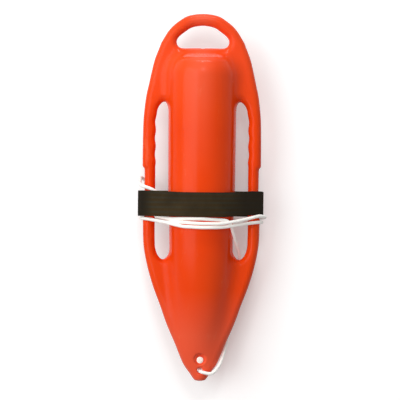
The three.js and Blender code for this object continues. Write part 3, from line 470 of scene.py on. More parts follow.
# %% Places in the nose
stopper_hole_inset = 0.042
nose_hole_spacing = 0.022
stopper_hole_y = stopper_hole_inset - half_length
lead_hole_y = stopper_hole_y - nose_hole_spacing
nose_hole_diameter = 0.0105
nose_hole_mouth = 0.015
mouth_depth = 0.0024
stopper_skin = 0.019
lead_skin = 0.016
hitch_exit_bend = 0.009
hitch_lift = 0.0012
hitch_exit_height = lead_skin + line_radius + hitch_lift
hitch_turn = math.radians(-13)
hitch_along = np.array([math.cos(hitch_turn), math.sin(hitch_turn), 0])
lead_hole = np.array([0, lead_hole_y, hitch_exit_height + axis_height])
line_exit = lead_hole + hitch_along * (hitch_exit_bend + line_radius)

# %% Free stretches: x and y, and height from the moulding's middle plane
lead_route = [
    (0.0221, -0.3435, 0.0194), (0.0279, -0.3403, 0.0166), (0.0323, -0.336, 0.0133),
    (0.0367, -0.3303, 0.009), (0.0408, -0.3225, 0.0048), (0.0444, -0.313, 0.0008),
    (0.0475, -0.303, -0.0034), (0.0503, -0.292, -0.008), (0.0528, -0.278, -0.013),
    (0.056, -0.258, -0.0178), (0.062, -0.220, -0.0208), (0.0695, -0.172, -0.0205),
    (0.0745, -0.136, -0.0195), (0.0763, -0.117, -0.0155), (0.0732, -0.104, -0.005),
    (0.069, -0.091, 0.008), (0.0646, -0.077, 0.020), (0.0612, -0.066, 0.0288),
    (0.0584, -0.0575, 0.0354), (0.0545, -0.051, 0.0416), (0.0495, -0.046, 0.049),
]
tail_route = [
    (-0.050, -0.0488, 0.0472), (-0.058, -0.0478, 0.0374), (-0.0665, -0.044, 0.027),
    (-0.073, -0.037, 0.020), (-0.078, -0.024, 0.0155), (-0.0805, -0.010, 0.014),
    (-0.0825, -0.001, 0.0145), (-0.087, 0.007, 0.017), (-0.0955, 0.0135, 0.0188),
    (-0.107, 0.018, 0.017), (-0.1163, 0.0212, 0.0096), (-0.1206, 0.0246, -0.001),
    (-0.1212, 0.0284, -0.0105), (-0.1212, 0.0326, -0.020), (-0.121, 0.0361, -0.0287),
    (-0.1201, 0.0375, -0.0345), (-0.1178, 0.0366, -0.0401), (-0.1147, 0.0336, -0.0443),
]
line_step = 0.0011


def unit(vector):
    return vector / np.linalg.norm(vector)


def raised(route):
    return [np.array([x, y, z + axis_height]) for x, y, z in route]


def run_on(place, along, runs):
    """Points straight on from a place, one for each run."""
    return [place + along * run for run in runs]


winding_starts, winding_stops = unit(winding[1] - winding[0]), unit(winding[-1] - winding[-2])
end_runs = (0, line_radius)
tow_path = smooth_line([
    *run_on(line_exit, hitch_along, end_runs),
    *raised(lead_route),
    *run_on(winding[0], winding_starts, (-line_radius,)),
    *winding,
], line_step)
tail_path = smooth_line([
    *run_on(winding[-1] + winding_stops * seat_gap, winding_stops, end_runs),
    *raised(tail_route),
    *run_on(whipping_end + whipping_along * seat_gap, whipping_along, end_runs[::-1]),
], line_step)


def path_length(path):
    return float(np.linalg.norm(np.diff(path, axis=0), axis=1).sum())


def least_gap(path, apart):
    """Least clear space between stretches of a path that are some steps apart."""
    far = np.linalg.norm(path[:, None] - path[None], axis=2)
    steps = np.abs(np.arange(len(path))[:, None] - np.arange(len(path))[None])
    return float(far[steps > apart].min()) - line_diameter


for stretch, path in (("line to the end of its turns", tow_path), ("tail of the line", tail_path)):
    print(f"{stretch}: {path_length(path):.3f} m")
print(f"least gap of the turns: {least_gap(tow_path[::2], 12) * 1000:.2f} mm")

# %% [markdown]
# ### Building node trees
# Materials and Geometry Nodes are both graphs of nodes. One short helper adds a node, sets its options and
# either links or sets each input, so that a tree reads like a list of steps. A socket knows the tree that it
# is in, so the helpers that take a socket need no tree.


# %% Node helpers
def add(tree, kind, inputs=None, **options):
    made = tree.nodes.new(kind)
    for name, value in options.items():
        setattr(made, name, value)
    for key, value in (inputs or {}).items():
        if isinstance(value, bpy.types.NodeSocket):
            tree.links.new(value, made.inputs[key])
        else:
            made.inputs[key].default_value = value
    return made


def calculate(operation, *values):
    tree = next(value.id_data for value in values if isinstance(value, bpy.types.NodeSocket))
    return add(tree, "ShaderNodeMath", dict(enumerate(values)), operation=operation).outputs[0]


def new_tree(name, sizes, counts=()):
    """A Geometry Nodes tree with its named inputs, and the curve of the path that goes in."""
    tree = bpy.data.node_groups.new(name, "GeometryNodeTree")
    kinds = {
        "Geometry": "Geometry", "Material": "Material",
        **dict.fromkeys(sizes, "Float"), **dict.fromkeys(counts, "Int"),
    }
    for key, kind in kinds.items():
        tree.interface.new_socket(key, in_out="INPUT", socket_type="NodeSocket" + kind)
    tree.interface.new_socket("Geometry", in_out="OUTPUT", socket_type="NodeSocketGeometry")
    given = tree.nodes.new("NodeGroupInput").outputs
    curve = add(tree, "GeometryNodeMeshToCurve", {"Mesh": given["Geometry"]}).outputs[0]
    return tree, given, curve


def close_tree(geometry, given):
    """Every tree ends alike: smooth faces, real geometry in place of instances, and its material."""
    tree = geometry.id_data
    smooth = add(tree, "GeometryNodeSetShadeSmooth", {"Geometry": geometry})
    real = add(tree, "GeometryNodeRealizeInstances", {"Geometry": smooth.outputs[0]})
    ready = add(tree, "GeometryNodeSetMaterial", {"Geometry": real.outputs[0], "Material": given["Material"]})
    add(tree, "NodeGroupOutput", {"Geometry": ready.outputs[0]})


def keep_value(geometry, name, value):
    kept = add(geometry.id_data, "GeometryNodeStoreNamedAttribute", {
        "Geometry": geometry, "Name": name, "Value": value,
    }, data_type="FLOAT", domain="POINT")
    return kept.outputs[0]


def read_value(tree, name):
    return add(tree, "GeometryNodeInputNamedAttribute", {"Name": name}, data_type="FLOAT").outputs[0]


# %% Object helpers
def link_object(name, data):
    piece = bpy.data.objects.new(name, data)
    bpy.context.scene.collection.objects.link(piece)
    return piece


def new_piece(name, points, faces):
    """A smooth mesh object from points and faces."""
    mesh = bpy.data.meshes.new(name)
    mesh.from_pydata(points, [], faces)
    mesh.shade_smooth()
    return link_object(name, mesh)


def path_mesh(name, points, closed=False):
    """A bare line of vertices and edges for a tree to work on."""
    mesh = bpy.data.meshes.new(name)
    count = len(points)
    edges = [(i, (i + 1) % count) for i in range(count if closed else count - 1)]
    mesh.from_pydata([tuple(point) for point in points], edges, [])
    return mesh


def grow(name, source, tree, **sizes):
    """Runs a tree on a source mesh and returns the result as a plain mesh object."""
    holder = link_object(name + "_source", source)
    modifier = holder.modifiers.new("shape", "NODES")
    modifier.node_group = tree
    for item in tree.interface.items_tree:
        if item.in_out == "INPUT" and item.name in sizes:
            modifier[item.identifier] = sizes[item.name]
    depsgraph = bpy.context.evaluated_depsgraph_get()
    mesh = bpy.data.meshes.new_from_object(
        holder.evaluated_get(depsgraph), preserve_all_data_layers=True, depsgraph=depsgraph,
    )
    bpy.data.objects.remove(holder)
    mesh.name = name
    print(f"{name}: {len(mesh.polygons)} faces")
    return link_object(name, mesh)


def point_values(mesh, name):
    values = np.zeros(len(mesh.vertices), np.float32)
    mesh.attributes[name].data.foreach_get("value", values)
    return values


def unwrapped(mesh, values, period):
    """Corner values of a round measure, carried on past its seam."""
    corners = np.zeros(len(mesh.loops), np.int32)
    mesh.loops.foreach_get("vertex_index", corners)
    starts, totals = np.zeros(len(mesh.polygons), np.int32), np.zeros(len(mesh.polygons), np.int32)
    mesh.polygons.foreach_get("loop_start", starts)
    mesh.polygons.foreach_get("loop_total", totals)
    at_corner = values[corners].astype(float)
    highest = np.repeat(np.maximum.reduceat(at_corner, starts), totals)
    return np.where(at_corner < highest - period / 2, at_corner + period, at_corner), corners


def lay_uv(mesh, u, v):
    layer = mesh.uv_layers.new(name="UVMap")
    layer.data.foreach_set("uv", np.stack([u, v], axis=1).astype(np.float32).ravel())


# %% [markdown]
# ### Materials
# Each finish is built from Object coordinates or from the piece's own UV map, so it holds still on the
# piece from every side. Colours are written as they look on a screen, and turned into linear values.


# %% Material helpers
def colour(code):
    """Linear colour of a screen colour such as e94a12."""
    parts = [int(code[i:i + 2], 16) / 255 for i in (0, 2, 4)]
    return (*[part / 12.92 if part <= 0.04045 else ((part + 0.055) / 1.055) ** 2.4 for part in parts], 1.0)


def new_material(name, **values):
    """A material with one principled shader, whose plain values are set on its own sockets."""
    material = bpy.data.materials.new(name)
    material.use_nodes = True
    tree = material.node_tree
    shader = tree.nodes["Principled BSDF"]
    for key, value in values.items():
        shader.inputs[key.replace("_", " ")].default_value = value
    return material, tree, shader


def drive(shader, **values):
    """Links values to inputs of a shader."""
    for key, value in values.items():
        shader.id_data.links.new(value, shader.inputs[key.replace("_", " ")])


def noise(place, scale, detail=3.0, roughness=0.5):
    inputs = {"Vector": place, "Scale": scale, "Detail": detail, "Roughness": roughness}
    return add(place.id_data, "ShaderNodeTexNoise", inputs).outputs["Fac"]


def ranged(value, low, high, to_low, to_high):
    inputs = {"Value": value, "From Min": low, "From Max": high, "To Min": to_low, "To Max": to_high}
    return add(value.id_data, "ShaderNodeMapRange", inputs).outputs["Result"]


def patches(place, scale, to_low, to_high, detail=3.0):
    """Soft patches that drift between two values."""
    return ranged(noise(place, scale, detail), 0.3, 0.7, to_low, to_high)


def mixed(share, first, second):
    inputs = {"Factor": share, 6: first, 7: second}
    return add(share.id_data, "ShaderNodeMix", inputs, data_type="RGBA").outputs[2]


def bump(shader, height, distance, strength):
    """Adds a bump of that height in metres, on top of any that the shader has."""
    inputs = {"Height": height, "Distance": distance, "Strength": strength}
    normal = shader.inputs["Normal"]
    if normal.is_linked:
        inputs["Normal"] = normal.links[0].from_socket
    drive(shader, Normal=add(shader.id_data, "ShaderNodeBump", inputs).outputs["Normal"])


def place_on(tree, kind="Object"):
    return add(tree, "ShaderNodeTexCoord").outputs[kind]


def split(place):
    return add(place.id_data, "ShaderNodeSeparateXYZ", {0: place}).outputs


def stretched(place, scale):
    return add(place.id_data, "ShaderNodeMapping", {"Vector": place, "Scale": scale}).outputs["Vector"]


def paint(piece, material):
    piece.data.materials.clear()
    piece.data.materials.append(material)


# %% [markdown]
# ### Tow line
# A braided line is a round core whose strands cross in two spirals, so its skin is a net of small lozenges.
# Geometry Nodes draw a tube along the route and push its skin out by that pattern: the length along the
# path and the turn round it give both spirals. The material takes the same pattern from the UV map, with
# painted shade in the grooves. The same tree with no relief also makes smooth wire. The white line's
# material gives off a faint light, a painted glow that makes it look brighter.


# %% Tree for a tube with a braided skin
def braid_net(around, along, strands, pitch):
    """Phases of the turn and of the length, and the net of the two spirals, from 0 to 1."""
    turn = calculate("MULTIPLY", calculate("MULTIPLY", around, strands), math.pi)
    run = calculate("MULTIPLY", calculate("DIVIDE", along, pitch), math.pi)
    spirals = [
        calculate("ABSOLUTE", calculate("SINE", calculate(way, turn, run))) for way in ("ADD", "SUBTRACT")
    ]
    return turn, run, calculate("MULTIPLY", *spirals)


line_tree, given, curve = new_tree("round_line", ["Radius", "Relief", "Strands", "Pitch"], ["Sides"])
spline_place = add(line_tree, "GeometryNodeSplineParameter").outputs
curve = keep_value(curve, "along", spline_place["Length"])
section = add(line_tree, "GeometryNodeCurvePrimitiveCircle", {
    "Resolution": given["Sides"], "Radius": given["Radius"],
})
section = keep_value(section.outputs["Curve"], "around", spline_place["Factor"])
tube = add(line_tree, "GeometryNodeCurveToMesh", {
    "Curve": curve, "Profile Curve": section, "Fill Caps": True,
})
turn_share, run_length = read_value(line_tree, "around"), read_value(line_tree, "along")
net = braid_net(turn_share, run_length, given["Strands"], given["Pitch"])[2]
push = add(line_tree, "ShaderNodeVectorMath", {
    0: add(line_tree, "GeometryNodeInputNormal").outputs[0],
    "Scale": calculate("MULTIPLY", calculate("SUBTRACT", net, 0.5), given["Relief"]),
}, operation="SCALE")
pushed = add(line_tree, "GeometryNodeSetPosition", {"Geometry": tube.outputs[0], "Offset": push.outputs[0]})
close_tree(pushed.outputs[0], given)

# %% Braided line material
braid_strands = 8
braid_pitch = 0.0052
braid_relief = 0.00042


def line_material(name, bright, dark, yarns, **values):
    """Braid or thread: painted shade darkens the grooves between strands, with fine yarns along each strand.
    """
    material, tree, shader = new_material(
        name, Roughness=0.72, Sheen_Weight=0.3, Sheen_Roughness=0.5, Specular_IOR_Level=0.3, **values,
    )
    around, along, _ = split(place_on(tree, "UV"))
    turn, run, net = braid_net(around, along, braid_strands, braid_pitch)
    strand = calculate("POWER", net, 0.5)
    yarn = calculate("SINE", calculate("MULTIPLY", calculate("ADD", turn, run), yarns))
    place = place_on(tree)
    soil = ranged(noise(place, 60.0, 4.0), 0.25, 0.75, 0.88, 1.0)
    # Painted shade: darker in the grooves, lighter on the raised strands.
    drive(shader, Base_Color=mixed(calculate("MULTIPLY", strand, soil), colour(dark), colour(bright)))
    bump(shader, strand, 0.0002, 0.5)
    bump(shader, yarn, 0.00006, 0.5)
    bump(shader, noise(place, 2600.0), 0.0001, 0.35)
    return material


# Painted glow: the white line gives off a faint light of its own, so that it looks brighter.
white_line = line_material(
    "white_braid", "fffefb", "f8f4ea", 6.0, Emission_Color=(1.0, 0.99, 0.96, 1), Emission_Strength=0.15,
)


def line_piece(name, path, closed=False, **changes):
    """A round line along a path, with a UV map of its turn and its length."""
    piece = grow(name, path_mesh(name, path, closed), line_tree, **{
        "Radius": line_radius, "Sides": 20, "Relief": braid_relief, "Strands": braid_strands,
        "Pitch": braid_pitch, "Material": white_line, **changes,
    })
    around, corners = unwrapped(piece.data, point_values(piece.data, "around"), 1.0)
    along = point_values(piece.data, "along")
    along = unwrapped(piece.data, along, path_length(path))[0] if closed else along[corners]
    lay_uv(piece.data, around, along)
    return piece


# %% The line from the nose to the end of its turns, and its tail
tow_line = line_piece("tow_line", tow_path)
tow_tail = line_piece("tow_line_tail", tail_path)

# %% [markdown]
# ### Line in the nose
# The line's own end is melted to a button that sits on a nylon washer in the dished hole. From there it
# goes down, crosses to the lower hole and comes up over its lip, which is where the free line begins. The
# nylon and the melted line give off a faint painted glow, so that they look brighter.

# %% Hitch path
dish_depth = 0.006
washer_diameter = 0.0127
washer_thickness = 0.002
button_diameter = 0.0094
button_height = 0.0019
dish_floor = stopper_skin - dish_depth
washer_top = dish_floor + seat_gap + washer_thickness
button_bottom = washer_top + seat_gap
hitch_bend = (stopper_hole_y - lead_hole_y) / 2
hitch_turn_height = -stopper_skin + mouth_depth + seat_gap
turn_bends = 8
under_turn = [
    (0, stopper_hole_y + hitch_bend * (math.cos(angle) - 1), hitch_turn_height + hitch_bend * math.sin(angle))
    for angle in np.linspace(0, -math.pi, turn_bends + 1)
]
over_lip = [
    lead_hole + hitch_along * hitch_exit_bend * (math.cos(angle) + 1)
    + np.array([0, 0, hitch_exit_bend * (math.sin(angle) - 1)])
    for angle in np.linspace(math.pi, math.pi / 2, turn_bends // 2 + 1)
]
hitch_path = smooth_line([
    *raised([
        (0, stopper_hole_y, button_bottom + button_height / 4),
        (0, stopper_hole_y, button_bottom - line_diameter),
        *under_turn,
        (0, lead_hole_y, (hitch_exit_height - hitch_exit_bend + hitch_turn_height) / 2),
    ]),
    *over_lip,
    line_exit - hitch_along * seat_gap,
], line_step)
tow_hitch = line_piece("tow_line_hitch", hitch_path)


# %% Turned pieces
def turned(name, profile, material, edge, segments=48):
    """A body turned round the z axis from rows of radius and height, with its edges rounded."""
    points, faces, rings = [], [], []
    for radius, height in profile:
        if radius == 0:
            rings.append([len(points)] * segments)
            points.append((0, 0, height))
            continue
        rings.append(list(range(len(points), len(points) + segments)))
        angles = (math.tau * side / segments for side in range(segments))
        points += [(radius * math.cos(angle), radius * math.sin(angle), height) for angle in angles]
    for lower, upper in zip(rings[:-1], rings[1:]):
        for side in range(segments):
            after = (side + 1) % segments
            corners = [lower[side], lower[after], upper[after], upper[side]]
            faces.append(list(dict.fromkeys(corners)))
    piece = new_piece(name, points, faces)
    rounding = piece.modifiers.new("rounded_edges", "BEVEL")
    rounding.width, rounding.segments, rounding.limit_method = edge, 3, "ANGLE"
    paint(piece, material)
    print(f"{name}: turned from {len(profile)} rows")
    return piece


# %% Nylon, thread and plug materials
def plain_plastic(name, base, shade, roughness, grain, **values):
    """Moulded plastic: a slight change of colour and roughness, and a fine grain."""
    material, tree, shader = new_material(name, Specular_IOR_Level=0.45, **values)
    place = place_on(tree)
    drive(
        shader,
        Base_Color=mixed(patches(place, 180.0, 0, 1), colour(base), colour(shade)),
        Roughness=patches(place, 420.0, roughness - 0.06, roughness + 0.06),
    )
    bump(shader, noise(place, 3200.0), grain, 0.4)
    return material


# Painted glow: a faint light of their own that makes the nylon and the melted line look brighter.
painted_glow = {"Emission_Color": (1.0, 0.97, 0.92, 1), "Emission_Strength": 0.18}
nylon = plain_plastic("white_nylon", "fffdf8", "f8f2e6", 0.42, 0.00004, **painted_glow)
melted_line = plain_plastic("melted_line", "fffaf2", "efe8da", 0.4, 0.0002, **painted_glow)
plug_plastic = plain_plastic("orange_plug", "d6430b", "e04c12", 0.5, 0.00005)

# %% Washer and melted button
small_edge = 0.0002
washer_hole = line_radius + seat_gap
washer_bottom = dish_floor + seat_gap
washer_outer = washer_diameter / 2
hitch_washer = turned("hitch_washer", [
    (washer_hole, washer_bottom), (washer_outer, washer_bottom), (washer_outer, washer_top),
    (washer_hole, washer_top), (washer_hole, washer_bottom),
], nylon, 2 * small_edge)
button_shares = [(0, 0), (1, 0), (1, 0.5), (0.9, 0.82), (0.67, 1), (0.4, 0.97), (0.2, 0.84), (0, 0.8)]
line_button = turned("line_button", [
    (wide * button_diameter / 2, between(button_bottom, button_bottom + button_height, high))
    for wide, high in button_shares
], melted_line, small_edge)
for piece in (hitch_washer, line_button):
    piece.data.transform(Matrix.Translation((0, stopper_hole_y, axis_height)))

# %% [markdown]
# ### Eye of the line on its ring
# The line ends in an eye round the ring's bow. Both legs of the eye are bound with waxed twine, which is a
# spiral round an oval, so the twine is one long path for the same line tree.


# %% Eye and its binding
def on_eye(run, rise, across=0.0):
    return np.array(eye_frame @ Vector((run, across, rise)))


leg_rise = line_radius + seat_gap / 2
eye_bends = 8
eye_mouth = math.pi / 3
eye_angles = np.linspace(eye_mouth, math.tau - eye_mouth, eye_bends + 1)
leg_runs = eye_length + np.array([whipping_length / 2, 0, -line_radius, -line_diameter])
eye_path = smooth_line([
    *[on_eye(run, leg_rise) for run in leg_runs],
    *[on_eye(math.cos(angle) * eye_diameter / 2, math.sin(angle) * eye_diameter / 2) for angle in eye_angles],
    *[on_eye(run, -leg_rise) for run in leg_runs[::-1]],
], line_step)
tow_eye = line_piece("tow_line_eye", eye_path)

twine_radius = whipping_thickness / 2
twine_turns = 11
twine_steps = 40
binding_wide = line_radius + seat_gap + twine_radius
binding_high = line_diameter + seat_gap / 2 + twine_radius
binding_angles = np.linspace(0, math.tau * twine_turns, twine_turns * twine_steps + 1)
binding_runs = np.linspace(
    whipping_start + twine_radius, whipping_start + whipping_length - twine_radius, len(binding_angles),
)
binding_path = np.array([
    on_eye(run, binding_high * math.cos(angle), binding_wide * math.sin(angle))
    for run, angle in zip(binding_runs, binding_angles)
])
twine = line_material("waxed_twine", "e9dfc6", "b3a684", 3.0)
eye_binding = line_piece(
    "eye_binding", binding_path, Radius=twine_radius, Sides=8, Relief=0.0, Material=twine,
)

# %% [markdown]
# ### Moulded float
# The distance formula is now sampled on a grid, and one vertex is set in each cell that the skin crosses.
# That gives even, all-quad faces with no seams, and each vertex is then slid onto the exact skin. The grid
# is finer at the nose holes and at the plug, where the detail is small. Remeshing a rough block would
# soften the rims, and a lofted tube could not hold the slots.

# %% Nose holes and plug seat as distances
dish_diameter = 0.026
dish_floor_diameter = 0.014
plug_head_diameter = 0.009
plug_head_thickness = 0.0022
plug_recess = 0.0009
plug_seat_y = loop_nose_end - plug_recess - plug_head_thickness - seat_gap
rim_round = 0.0014
mouth_shares = np.array([(0, 0), (0.33, 0.5), (1, 1)])
dish_shares = np.array([(0, 0), (0.35, 0.3), (0.75, 0.72), (1, 1)])


def soft_join(first, second, reach):
    share = np.clip(0.5 + (second - first) / reach / 2, 0, 1)
    return between(second, first, share) - reach * share * (1 - share)


def mouth_radius(height, skin):
    """Radius of a nose hole: its bore, and a wider mouth at the skin."""
    heights = skin - mouth_depth * (1 - mouth_shares[:, 1])
    radii = between(nose_hole_diameter, nose_hole_mouth, mouth_shares[:, 0]) / 2
    return np.interp(height, heights, radii)


def holes_distance(x, y, z):
    stopper_round = np.hypot(x, y - stopper_hole_y)
    lead_round = np.hypot(x, y - lead_hole_y)
    dish_heights = dish_floor + dish_depth * dish_shares[:, 1]
    dish_radii = between(dish_floor_diameter, dish_diameter, dish_shares[:, 0]) / 2
    dish = np.maximum(stopper_round - np.interp(z, dish_heights, dish_radii), dish_floor - z)
    bore = stopper_round - np.where(z < 0, mouth_radius(-z, stopper_skin), nose_hole_diameter / 2)
    lead = lead_round - mouth_radius(np.abs(z), lead_skin)
    plug_head = plug_head_diameter / 2 + seat_gap
    plug = np.maximum(np.hypot(x, z) - plug_head, np.maximum(plug_seat_y - y, y - loop_tail_end))
    return np.minimum.reduce([dish, bore, lead, plug])


def shell_distance(x, y, z, plan):
    sheet = np.hypot(np.maximum(plan + half_sheet, 0), z) - half_sheet
    across, deep = tube_radii(y)
    dome = np.maximum(0, (y - dome_end - dome_overrun + dome_length) / dome_length)
    tube_skin = (np.sqrt((x / across) ** 2 + (z / deep) ** 2 + dome**2) - 1) * np.minimum(across, deep)
    end_face = (y - dome_end) * math.cos(end_lean) + np.abs(z) * math.sin(end_lean)
    tube_skin = -soft_join(-tube_skin, -end_face, ridge_round)
    body = soft_join(sheet, np.maximum(tube_skin, tube_nose_end - y), blend_reach)
    return -soft_join(-body, holes_distance(x, y, z), rim_round)


# %% Plan distances, looked up from an even grid
plan_step = 0.00075
plan_margin = 0.006
last_cell = 1.001
plan_x = np.arange(0, half_width + plan_margin, plan_step)
plan_y = np.arange(-half_length - plan_margin, half_length + plan_margin, plan_step)
plan_table = plan_distance(*np.meshgrid(plan_x, plan_y, indexing="ij"))


def plan_lookup(x, y):
    across = np.clip(np.abs(x) / plan_step, 0, len(plan_x) - last_cell)
    along = np.clip((y - plan_y[0]) / plan_step, 0, len(plan_y) - last_cell)
    i, j = across.astype(int), along.astype(int)
    u, v = across - i, along - j
    low = between(plan_table[i, j], plan_table[i + 1, j], u)
    high = between(plan_table[i, j + 1], plan_table[i + 1, j + 1], u)
    return between(low, high, v)


# %% Grid lines, closer where the detail is small
wide_cell = 0.0031
fine_cell = 0.0013
fine_half_width = 0.016
fine_half_depth = 0.008
fine_nose_end = stopper_hole_y + dish_diameter * 0.7
grid_margin = 0.004


def grid_lines(start, spans):
    lines = [start]
    for end, step in spans:
        count = max(1, round((end - lines[-1]) / step))
        lines += [between(lines[-1], end, i / count) for i in range(1, count + 1)]
    return np.array(lines)


def mirrored_lines(lines):
    return np.concatenate([-lines[:0:-1], lines])


grid = [
    mirrored_lines(grid_lines(0, [(fine_half_width, fine_cell), (half_width + grid_margin, wide_cell)])),
    grid_lines(-half_length - grid_margin, [
        (fine_nose_end, fine_cell),
        (plug_seat_y - grid_margin, wide_cell),
        (loop_nose_end + grid_margin, fine_cell),
        (half_length + grid_margin, wide_cell),
    ]),
    mirrored_lines(grid_lines(0, [(fine_half_depth, fine_cell), (tube_depth / 2 + grid_margin, wide_cell)])),
]


# %% Surface from the grid
def surface_net(lines, values):
    """One vertex in each cell that the surface crosses, and one face over each grid edge that it crosses."""
    cells = np.array(values.shape) - 1
    total, count, quads = np.zeros((cells.prod(), 3)), np.zeros(cells.prod()), []
    inside = values < 0
    for axis in range(3):
        low, high = ([slice(None)] * 3 for _ in range(2))
        low[axis], high[axis] = slice(None, -1), slice(1, None)
        crosses = inside[tuple(low)] != inside[tuple(high)]
        index = np.argwhere(crosses)
        start, end = values[tuple(low)][crosses], values[tuple(high)][crosses]
        place = np.stack([lines[k][index[:, k]] for k in range(3)], axis=1)
        place[:, axis] += np.diff(lines[axis])[index[:, axis]] * start / (start - end)
        corners = []
        for back_u, back_v in ((0, 0), (1, 0), (1, 1), (0, 1)):
            around = index.copy()
            around[:, (axis + 1) % 3] -= back_u
            around[:, (axis + 2) % 3] -= back_v
            corners.append(np.ravel_multi_index(tuple(around.T), cells))
            np.add.at(total, corners[-1], place)
            np.add.at(count, corners[-1], 1)
        faces = np.stack(corners, axis=1)
        outward = start < 0
        quads += [faces[outward], faces[~outward, ::-1]]
    used, faces = np.unique(np.concatenate(quads), return_inverse=True)
    index = np.stack(np.unravel_index(used, cells), axis=1)
    lowest = np.stack([lines[k][index[:, k]] for k in range(3)], axis=1)
    highest = np.stack([lines[k][index[:, k] + 1] for k in range(3)], axis=1)
    return total[used] / count[used, None], faces.reshape(-1, 4), lowest, highest


def settle(points, lowest, highest, value_at):
    """Slides points onto the surface, each inside its own cell."""
    probe, rounds, rim_share, least_slope = 0.00005, 4, 0.04, 0.1
    rim = (highest - lowest) * rim_share
    for _ in range(rounds):
        value = value_at(points)
        shifts = np.eye(3) * probe
        slope = np.stack([(value_at(points + shift) - value) / probe for shift in shifts], axis=1)
        step = value / np.maximum((slope**2).sum(1), least_slope**2)
        points = np.clip(points - slope * step[:, None], lowest + rim, highest - rim)
    return points


def skin_distance(points):
    x, y, z = points.T
    return shell_distance(x, y, z, plan_lookup(x, y))


x, y, z = np.meshgrid(*grid, indexing="ij", sparse=True)
samples = shell_distance(x, y, z, plan_lookup(x + 0 * y, y + 0 * x))
points, faces, lowest, highest = surface_net(grid, samples)
points = settle(points, lowest, highest, skin_distance)
print(f"float skin: {len(points)} vertices, {2 * len(faces)} triangles")

# %% Fit the skin to the box of its CAD node, and make the piece
points[:, 2] += axis_height
node_low, node_high = np.array(shell_low), np.array(shell_high)
own_low, own_high = points.min(0), points.max(0)
print("skin before the fit, in mm:", np.round(own_low * 1000, 1), np.round(own_high * 1000, 1))
points = between(node_low, node_high, (points - own_low) / (own_high - own_low))
float_shell = new_piece("float_shell", points.tolist(), faces.tolist())

# %% [markdown]
# ### Finish of the float
# Rotation-moulded polyethylene has an even, deep colour and a satin skin with a faint grain from the mould.
# In use it gets a few dull scuffs. A pale band along the crest of the tube and a paler tail end are a
# painted highlight, and the colour also turns paler towards the nose. A faint raised line runs round its
# middle, where the mould closed.

# %% Orange polyethylene
# Places of the painted highlight: a pale band along the tube's crest and a paler tail end. The nose is made
# paler too.
crest_highlight_x = -0.004
crest_highlight_edges = (0.008, 0.032)
crest_highlight_starts = (0.03, 0.20)
nose_paler_span = (-0.18, -0.27)
tail_glare_span = (0.16, 0.25)
mould_line_edges = (0.0002, 0.0008)

orange, tree, shader = new_material("orange_polyethylene", Specular_IOR_Level=0.11)
place = place_on(tree)
sideways, along, height = split(place)
off_crest_highlight = calculate("ABSOLUTE", calculate("SUBTRACT", sideways, crest_highlight_x))
painted_crest_highlight = calculate("MULTIPLY", ranged(off_crest_highlight, *crest_highlight_edges, 0.5, 0), ranged(along, *crest_highlight_starts, 0, 1))
ends = calculate("ADD", ranged(along, *nose_paler_span, 0, 0.75), ranged(along, *tail_glare_span, 0, 0.2))
scuffs = ranged(noise(stretched(place, (1, 0.35, 1)), 46.0, 8.0, 0.62), 0.6, 0.72, 0, 1)
base = mixed(patches(place, 7.0, 0, 1, 2.0), colour("f54104"), colour("fb4b0d"))
# Painted highlight on the crest and the tail end, and a paler nose, all mixed towards a pale orange.
base = mixed(calculate("ADD", painted_crest_highlight, ends), base, colour("fb6242"))
base = mixed(calculate("MULTIPLY", scuffs, 0.16), base, colour("f58a5c"))
satin = calculate("ADD", patches(place, 30.0, 0.19, 0.23), calculate("MULTIPLY", scuffs, 0.12))
drive(shader, Base_Color=base, Roughness=satin)
off_middle = calculate("ABSOLUTE", calculate("SUBTRACT", height, axis_height))
bump(shader, ranged(off_middle, *mould_line_edges, 1, 0), 0.0003, 0.6)
bump(shader, noise(place, 650.0), 0.00008, 0.35)
bump(shader, noise(place, 38.0, 2.0), 0.0006, 0.12)
paint(float_shell, orange)

# %% [markdown]
# ### Strap and tab
# Both are flat webbing that follows a path, so Geometry Nodes sweep a thin rounded section along it. The
# strap is one endless loop laid flat: its path goes out on the outer ply and comes back on the inner one.
# It lies a little uneven, as a real strap does. Its edges draw in where it is pulled tight over the tube and
# the right handle, and it is pressed flat where the float rests on it.

# %% Tree for a band of webbing
band_tree, given, curve = new_tree("flat_band", ["Width", "Thickness", "Edge", "Wander", "Wave"], ["Cuts"])
curve = keep_value(curve, "along", add(band_tree, "GeometryNodeSplineParameter").outputs["Length"])
section = add(band_tree, "GeometryNodeCurvePrimitiveQuadrilateral", {
    "Width": given["Width"], "Height": given["Thickness"],
})
side_number = add(band_tree, "GeometryNodeInputIndex").outputs[0]
long_side = calculate("SUBTRACT", 1.0, calculate("MODULO", side_number, 2))
cuts = calculate("MULTIPLY", long_side, given["Cuts"])
section = add(band_tree, "GeometryNodeSubdivideCurve", {"Curve": section.outputs[0], "Cuts": cuts})
section = add(band_tree, "GeometryNodeFilletCurve", {
    "Curve": section.outputs[0], "Count": 3, "Radius": given["Edge"],
}, mode="POLY")
band = add(band_tree, "GeometryNodeCurveToMesh", {
    "Curve": curve, "Profile Curve": section.outputs[0], "Fill Caps": True,
})
wander = add(band_tree, "ShaderNodeTexNoise", {
    "W": calculate("DIVIDE", read_value(band_tree, "along"), given["Wave"]), "Scale": 1.0, "Detail": 2.0,
}, noise_dimensions="1D").outputs["Fac"]
sideways = calculate("MULTIPLY", calculate("SUBTRACT", wander, 0.5), given["Wander"])
offset = add(band_tree, "ShaderNodeCombineXYZ", {"Y": sideways}).outputs[0]
moved = add(band_tree, "GeometryNodeSetPosition", {"Geometry": band.outputs[0], "Offset": offset})
close_tree(moved.outputs[0], given)


# %% Webbing material
# Painted shade: the strap is darker on its right side and at its left end.
painted_shade_places = ((0.03, 0.085), (-0.095, -0.115))


